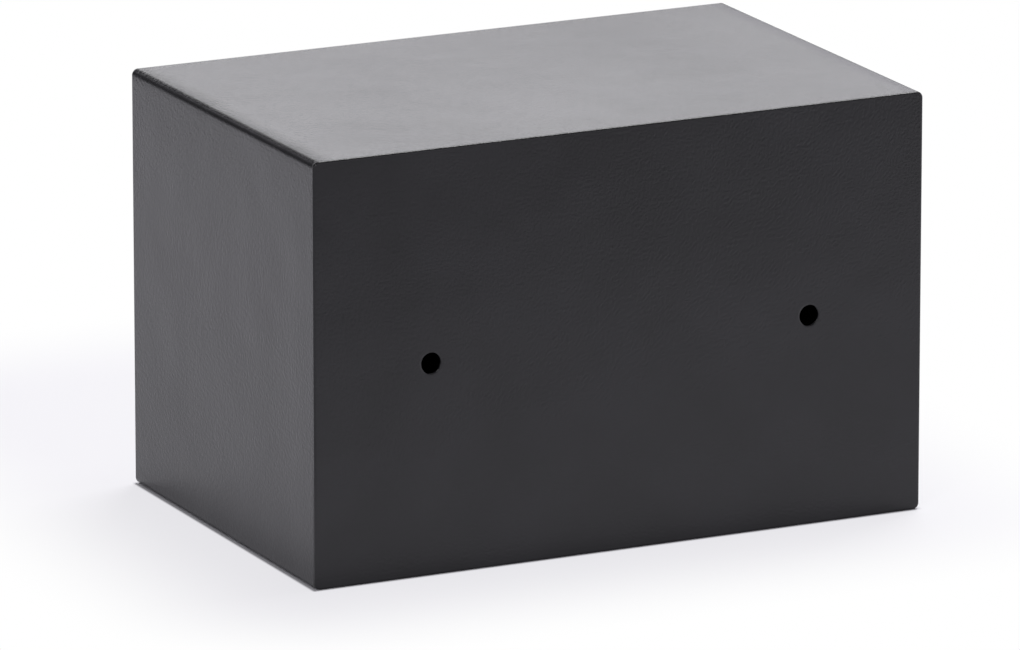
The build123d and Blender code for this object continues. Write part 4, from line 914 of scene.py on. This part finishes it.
@dataclass
class CoverScrews:
    """The four pan head screws that hold the inner cover, each with a cross recess."""

    head_radius: float = 0.0035
    head_rise: float = 0.0016
    head_round: float = 0.0009
    shank_radius: float = 0.0019
    recess_width: float = 0.0011
    recess_length: float = 0.0040
    recess_depth: float = 0.0009
    recess_taper: float = 0.7
    sides: int = 48
    smooth_angle: float = 40.0

    def build(self, palette: Palette) -> Item:
        """Model one screw and set a copy at each other corner.

        Args:
            palette: the finishes.

        Returns:
            The four screws as one piece.
        """
        low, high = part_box("cover_screws")
        first = Vector((low.x + self.head_radius, high.y, low.z + self.head_radius))
        across = Vector((high.x - low.x - 2 * self.head_radius, 0.0, 0.0))
        up = Vector((0.0, 0.0, high.z - low.z - 2 * self.head_radius))
        screw = self._screw(first, high.y - low.y)
        piece = spread("cover_screw_heads", screw, (across, up, across + up))
        settle(piece, self.smooth_angle)
        palette.wear(piece, "upright_zinc")
        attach(piece, "door")
        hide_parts("cover_screws")
        return piece

    def _screw(self, place: Vector, length: float) -> Item:
        """Model one screw.

        Args:
            place: the middle of its head's outer face.
            length: the whole screw's length.

        Returns:
            The screw.
        """
        deselect()
        bpy.ops.mesh.primitive_cylinder_add(
            vertices=self.sides, radius=self.head_radius, depth=self.head_rise,
            location=place - Vector((0.0, self.head_rise / 2, 0.0)), rotation=STOOD_UP,
        )
        screw = name_active("screw")
        bpy.ops.object.transform_apply(location=True, rotation=True, scale=True)
        open_edit(screw)
        pick_faces(screw, lambda face: face.normal.y > 0.9)
        bpy.ops.mesh.bevel(offset=self.head_round, segments=5, affect="EDGES")
        pick_faces(screw, lambda face: face.normal.y < -0.9)
        bpy.ops.mesh.inset(thickness=self.head_radius - self.shank_radius, depth=0.0)
        bpy.ops.mesh.extrude_region_move(TRANSFORM_OT_translate={"value": (0.0, self.head_rise - length, 0.0)})
        bpy.ops.object.mode_set(mode="OBJECT")
        cut_away(screw, self._recess(place))
        return screw

    def _recess(self, place: Vector) -> list[Item]:
        """Model the cross recess as one tapered arm and a copy that is turned across it.

        Args:
            place: the middle of the head's outer face.

        Returns:
            The two arms.
        """
        arm = add_block("recess", place, (self.recess_width, 2 * self.recess_depth, self.recess_length))
        pick_faces(arm, lambda face: face.normal.y < -0.9)
        bpy.ops.transform.resize(value=(self.recess_taper, 1.0, self.recess_taper), center_override=place)
        bpy.ops.object.mode_set(mode="OBJECT")
        across = copy_moved(arm, Vector(NOTHING))
        bpy.ops.transform.rotate(value=math.pi / 2, orient_axis="Y", center_override=place)
        return [arm, across]


@dataclass
class WeldBeads:
    """The rippled weld beads that hold the two hinge blocks behind the door."""

    block_height: float = 0.028
    radius: float = 0.0013
    ripple: float = 0.14
    end_width: float = 0.35
    taper: float = 9.0
    inset: float = 0.004
    rings: int = 60
    rings_per_ripple: int = 5
    sides: int = 12
    smooth_angle: float = 80.0

    def build(self, palette: Palette) -> Item:
        """Model one bead and set a copy along each other upright edge of the blocks.

        Args:
            palette: the finishes.

        Returns:
            The beads as one piece.
        """
        low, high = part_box("hinge_blocks")
        foot = Vector((low.x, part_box("door_plate")[1].y, low.z + self.inset))
        across = Vector((high.x - low.x, 0.0, 0.0))
        up = Vector((0.0, 0.0, high.z - low.z - self.block_height))
        piece = spread("weld_beads", self._bead(foot), (across, up, across + up))
        settle(piece, self.smooth_angle)
        palette.wear(piece, "inner_coat")
        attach(piece, "door")
        return piece

    def width(self, share: float) -> float:
        """Give the bead's width as a share of its radius, from 0 at its foot to 1 at its top."""
        swell = self.ripple * math.sin(share * math.tau * self.rings / self.rings_per_ripple)
        return min(1.0, self.end_width + self.taper * min(share, 1 - share)) + swell

    def _bead(self, foot: Vector) -> Item:
        """Draw one bead up from its foot ring by ring, half sunk in the corner that it fills.

        Args:
            foot: the bead's lower end.

        Returns:
            The bead.
        """
        step = (self.block_height - 2 * self.inset) / self.rings
        deselect()
        bpy.ops.mesh.primitive_circle_add(
            vertices=self.sides, radius=self.radius * self.width(0.0), fill_type="NGON", location=foot
        )
        bead = name_active("bead")
        open_edit(bead)
        bpy.ops.mesh.select_all(action="SELECT")
        for ring in range(self.rings):
            growth = self.width((ring + 1) / self.rings) / self.width(ring / self.rings)
            bpy.ops.mesh.extrude_region_move(TRANSFORM_OT_translate={"value": (0.0, 0.0, step)})
            bpy.ops.transform.resize(value=(growth, growth, 1.0), center_override=foot)
        bpy.ops.mesh.select_all(action="SELECT")
        bpy.ops.mesh.normals_make_consistent(inside=False)
        bpy.ops.object.mode_set(mode="OBJECT")
        return bead


@dataclass
class LidRibs:
    """Three low moulded ribs on the battery lid, beside its finger recess."""

    count: int = 3
    width: float = 0.026
    height: float = 0.0012
    rise: float = 0.0006
    rounding: float = 0.0004
    pitch: float = 0.0032
    above_foot: float = 0.015
    smooth_angle: float = 40.0

    def build(self, palette: Palette) -> Item:
        """Model one rib and copy it up the lid.

        Args:
            palette: the finishes.

        Returns:
            The ribs as one piece.
        """
        low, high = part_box("battery_lid")
        place = Vector(((low.x + high.x) / 2, high.y, low.z + self.above_foot))
        rib = add_block("rib", place, (self.width, 2 * self.rise, self.height))
        bpy.ops.object.mode_set(mode="OBJECT")
        apply_modifier(rib, "BEVEL", width=self.rounding, segments=3)
        steps = [Vector((0.0, 0.0, number * self.pitch)) for number in range(1, self.count)]
        piece = spread("lid_ribs", rib, steps)
        settle(piece, self.smooth_angle)
        palette.wear(piece, "black_plastic")
        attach(piece, "battery_lid")
        return piece


@dataclass
class Assembly:
    """A sub-assembly: the nodes that wear each finish, and the pieces modelled for it."""

    worn: ClassVar[dict[str, tuple[str, ...]]] = {}
    pieces: tuple[FeltMat | CoverScrews | WeldBeads | LidRibs, ...] = ()

    def build(self, palette: Palette) -> None:
        """Dress the nodes, then model the pieces.

        Args:
            palette: the finishes.
        """
        LOG.info("building %s", type(self).__name__)
        for finish, nodes in self.worn.items():
            for node in nodes:
                palette.wear(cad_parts[node], finish)
                LOG.info("node %s wears %s", node, finish)
        for piece in self.pieces:
            LOG.info("modelled %s", piece.build(palette).name)


@dataclass
class Cabinet(Assembly):
    """The folded cabinet, its welded back and front frame, and the mat inside."""

    worn = {
        "wrap_coat": ("body_shell",),
        "plate_coat": ("back_panel",),
        "sheet_coat": ("front_frame",),
        "brass": ("hinge_bushes",),
        "grey_felt": ("floor_mat",),
    }
    pieces: tuple[FeltMat, ...] = (FeltMat(),)


@dataclass
class Door(Assembly):
    """The door plate with its hinge, the inner cover and what the cover hides."""

    worn = {
        "sheet_coat": ("door_plate",),
        "inner_coat": ("inner_cover", "hinge_blocks"),
        "upright_zinc": ("hinge_pins", "bolt_guide", "cover_posts", "cover_screws"),
    }
    pieces: tuple[CoverScrews | WeldBeads, ...] = (CoverScrews(), WeldBeads())


@dataclass
class BoltWork(Assembly):
    """The knob, its spindle and cam, and the carriage with the two live bolts."""

    worn = {
        "knob_plastic": ("knob",),
        "pin_steel": ("knob_spindle", "knob_set_screw", "cam_pin", "guide_studs"),
        "zinc_steel": ("cam_arm", "spindle_nut", "bolt_carriage", "guide_clips"),
        "bolt_steel": ("live_bolt_lower", "live_bolt_upper"),
        "brass": ("spindle_bush",),
    }


@dataclass
class BlockingSolenoid(Assembly):
    """The solenoid whose plunger blocks the carriage."""

    worn = {
        "upright_zinc": ("solenoid_frame", "solenoid_posts"),
        "white_plastic": ("solenoid_bobbin",),
        "copper_wire": ("coil_winding",),
        "bolt_steel": ("plunger", "plunger_spring"),
        "zinc_steel": ("plunger_clip",),
        "lead_sleeve": ("solenoid_lead",),
    }


@dataclass
class OverrideLock(Assembly):
    """The key lock behind its swinging cover."""

    worn = {
        "satin_nickel": ("key_cylinder", "key_plug", "key_cover_screw"),
        "zinc_steel": ("key_nut", "key_cam", "key_cam_screw"),
        "black_plastic": ("key_escutcheon", "key_cover"),
    }


@dataclass
class ReaderPanel(Assembly):
    """The fingerprint reader's panel on the door's face."""

    worn = {
        "black_plastic": ("escutcheon", "sensor_module"),
        "satin_nickel": ("sensor_bezel",),
        "reader_glass": ("sensor_window",),
        "lens_plastic": ("indicator_lenses",),
        "green_board": ("panel_board",),
        "upright_zinc": ("escutcheon_screws",),
        "lead_sleeve": ("panel_lead",),
    }


@dataclass
class Electronics(Assembly):
    """The control board, its button and the battery tub with its lid."""

    worn = {
        "green_board": ("circuit_board",),
        "brass": ("board_spacers",),
        "upright_zinc": ("board_screws",),
        "black_plastic": ("board_parts", "button_switch", "battery_holder", "battery_lid"),
        "red_plastic": ("enroll_button",),
        "cell_sleeve": ("batteries",),
        "bolt_steel": ("battery_contacts",),
        "lead_sleeve": ("battery_lead",),
    }
    pieces: tuple[LidRibs, ...] = (LidRibs(),)


@dataclass(frozen=True)
class Lamp:
    """One soft lamp: where it hangs, the point that it faces, its width and height, and its watts."""

    name: str
    place: Triple
    aim: Triple
    size: Span
    power: float

    def build(self) -> None:
        """Hang the lamp."""
        light = bpy.data.lights.new(self.name, "AREA")
        light.shape, light.size, light.size_y, light.energy = "RECTANGLE", *self.size, self.power
        lamp = bpy.data.objects.new(self.name, light)
        bpy.context.scene.collection.objects.link(lamp)
        lamp.location = self.place
        lamp.rotation_euler = (Vector(self.aim) - Vector(self.place)).to_track_quat("-Z", "Y").to_euler()


@dataclass
class Studio:
    """The pale floor, the soft lamps, the world and the camera.

    The camera sees a white floor with a painted pale shade round the safe, where a share of the real lit floor
    and its shadow shows through. Reflections see a patch of it painted white, a painted reflection, and a white
    band round the horizon with one gap, both shaped after the reflections in the photograph.
    """

    azimuth: float = 154.05
    elevation: float = 14.94
    distance: float = 4.9825
    aim: Triple = (0.00806, 0.0, 0.08362)
    focal_pixels: float = 10710.0
    sensor: float = 36.0
    clip: Span = (0.1, 60.0)
    floor_size: float = 24.0
    floor_colour: Colour = (0.86, 0.85, 0.89)
    floor_roughness: float = 0.9
    white: Colour = (1.0, 1.0, 1.0)
    cool: Colour = (0.95, 0.935, 1.0)
    dim: float = 0.15
    # Painted shadow round the safe: in a rectangle set towards its front, a share of the white gives way to the
    # lit floor, tinted cool.
    shadow_share: float = 0.235
    shadow_tint: float = 0.55
    contact: float = 0.0020
    # Painted shade in reflections: glossy rays see the floor's white dimmed near the safe's foot.
    mirrored_contact: float = 0.04
    mirrored_dim: float = 0.5
    plain_from: float = 0.125
    shade_middle: Triple = (0.01, -0.085, 0.0)
    shade_reach: Triple = (0.145, 0.18, 0.0)
    footprint: Triple = (0.155, 0.1, 0.0)
    # Painted reflection: the edges of the floor patch that glossy rays see white.
    reflection_patch_edges: tuple[tuple[Triple, float, float], ...] = (
        ((0.60, 0.80, 0.0), 0.22, 0.50),
        ((0.42, -0.87, 0.0), 0.98, 1.40),
        ((0.70, 0.70, 0.0), 0.25, 0.55),
    )
    band: Span = (0.285, 0.50)
    gap: Span = (0.90, 0.96)
    gap_direction: Triple = (0.454, -0.891, 0.0)
    upper_light: float = 0.05
    lamps: tuple[Lamp, ...] = (
        Lamp("overhead", (-0.85, -0.72, 1.80), (-0.05, 0.0, 0.1), (1.0, 1.0), 28.0),
        Lamp("key", (1.02, 1.05, 1.45), (0.0, 0.05, 0.12), (0.35, 0.35), 5.5),
        Lamp("ridge", (-0.80, 0.10, 1.85), (-0.05, 0.05, 0.1), (0.2, 1.3), 4.0),
        Lamp("behind", (-0.76, -1.62, 0.80), (-0.05, 0.0, 0.22), (1.9, 0.36), 2.9),
    )

    def build(self) -> None:
        """Set up the stage."""
        bpy.context.scene.view_settings.view_transform = "Standard"
        self._floor()
        self._world()
        for lamp in self.lamps:
            lamp.build()
        self._camera()
        LOG.info("studio built")

    def _camera(self) -> None:
        """Stand the camera where it sees the safe as the photograph does."""
        turn, rise = math.radians(self.azimuth), math.radians(self.elevation)
        back = Vector((math.sin(turn) * math.cos(rise), -math.cos(turn) * math.cos(rise), math.sin(rise)))
        lens = bpy.data.cameras.new("camera")
        lens.sensor_width = self.sensor
        lens.lens = self.focal_pixels * self.sensor / IMAGE_WIDTH
        lens.clip_start, lens.clip_end = self.clip
        camera = bpy.data.objects.new("camera", lens)
        bpy.context.scene.collection.objects.link(camera)
        camera.location = Vector(self.aim) + back * self.distance
        camera.rotation_euler = (-back).to_track_quat("-Z", "Y").to_euler()
        bpy.context.scene.camera = camera

    def _floor(self) -> None:
        """Lay the pale floor, with a painted shade near the safe that lets a share of the real shadow through,
        running to plain white.
        """
        deselect()
        bpy.ops.mesh.primitive_plane_add(size=self.floor_size, location=NOTHING)
        floor = name_active("studio_floor")
        surface = Surface("studio_floor")
        surface.feed({"Base Color": shown(self.floor_colour), "Roughness": self.floor_roughness})
        place = surface.here()
        # Painted shadow: inside the shade rectangle the camera sees less white and more of the lit floor, which
        # holds a share of the real shadow.
        shade = self._away(surface, place, self.shade_middle, self.shade_reach)
        touch = self._away(surface, place, NOTHING, self.footprint)
        plain = surface.span(shade, 0.0, self.plain_from, 1.0 - self.shadow_share, 1.0)
        plain = surface.math("MULTIPLY", plain, surface.span(touch, 0.0, self.contact))
        ray = surface.add("ShaderNodeLightPath").outputs
        # Painted shade in reflections: less white near the safe's foot for glossy rays.
        near = surface.span(touch, 0.0, self.mirrored_contact, self.mirrored_dim, 1.0)
        # Painted reflection: glossy rays see white only on a patch of the floor.
        mirrored = surface.math("MULTIPLY", ray["Is Glossy Ray"], self._reflection_patch(surface, place))
        mirrored = surface.math("MULTIPLY", mirrored, near)
        seen = surface.math("MAXIMUM", ray["Is Camera Ray"], mirrored)
        seen = surface.math("MAXIMUM", seen, ray["Is Transmission Ray"])
        # Painted cool tint in the shade round the safe.
        tint = surface.span(shade, 0.0, self.plain_from, self.shadow_tint, 0.0)
        tint = surface.math("MAXIMUM", tint, ray["Is Glossy Ray"])
        tone = surface.blend_colour(tint, self.white, self.cool)
        white = surface.add("ShaderNodeEmission", {"Color": tone, "Strength": 1.0}).outputs[0]
        share = surface.math("MULTIPLY", plain, seen)
        mixed = surface.add("ShaderNodeMixShader", {0: share, 1: surface.shader.outputs[0], 2: white}).outputs[0]
        surface.join(mixed, surface.tree.nodes["Material Output"].inputs["Surface"])
        floor.data.materials.append(surface.material)

    @staticmethod
    def _away(graph: Graph, place: Socket, middle: Triple, reach: Triple) -> Socket:
        """Give the distance in metres from a rectangle, by its middle and half its size."""
        beside = graph.vector("ABSOLUTE", graph.vector("SUBTRACT", place, middle))
        return graph.vector("LENGTH", graph.vector("MAXIMUM", graph.vector("SUBTRACT", beside, reach)))

    def _reflection_patch(self, graph: Graph, place: Socket) -> Socket:
        """Give the patch of the floor that reflections see painted white, a painted reflection, dim beyond it.

        Args:
            graph: the floor material's graph.
            place: the place on the floor.

        Returns:
            The mask.
        """
        mask = 1.0
        for direction, start, end in self.reflection_patch_edges:
            side = graph.span(graph.vector("DOT_PRODUCT", place, direction), start, end, 1.0, 0.0)
            mask = graph.math("MULTIPLY", mask, side)
        return graph.math("MAXIMUM", mask, self.dim)

    def _world(self) -> None:
        """Light the room: white round the horizon but for one gap, dim above it."""
        world = bpy.data.worlds.new("room")
        bpy.context.scene.world = world
        world.use_nodes = True
        graph = Graph(world.node_tree)
        direction = graph.add("ShaderNodeTexCoord").outputs["Generated"]
        up = graph.add("ShaderNodeSeparateXYZ", {0: direction}).outputs["Z"]
        along = graph.vector("DOT_PRODUCT", direction, self.gap_direction)
        lit = graph.math(
            "MULTIPLY", graph.span(up, *self.band, 1.0, 0.0), graph.span(along, *self.gap, 1.0, self.dim)
        )
        sky = world.node_tree.nodes["Background"].inputs
        graph.join(graph.math("MAXIMUM", lit, self.upper_light), sky["Strength"])
        sky["Color"].default_value = shown(self.cool)


def main() -> None:
    """Build the studio and every sub-assembly, in order."""
    logging.basicConfig(level=logging.INFO, format="%(name)s: %(message)s")
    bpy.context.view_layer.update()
    Studio().build()
    palette = Palette(Effects())
    for assembly in (Cabinet, Door, BoltWork, BlockingSolenoid, OverrideLock, ReaderPanel, Electronics):
        assembly().build(palette)


if __name__ == "__main__":
    main()
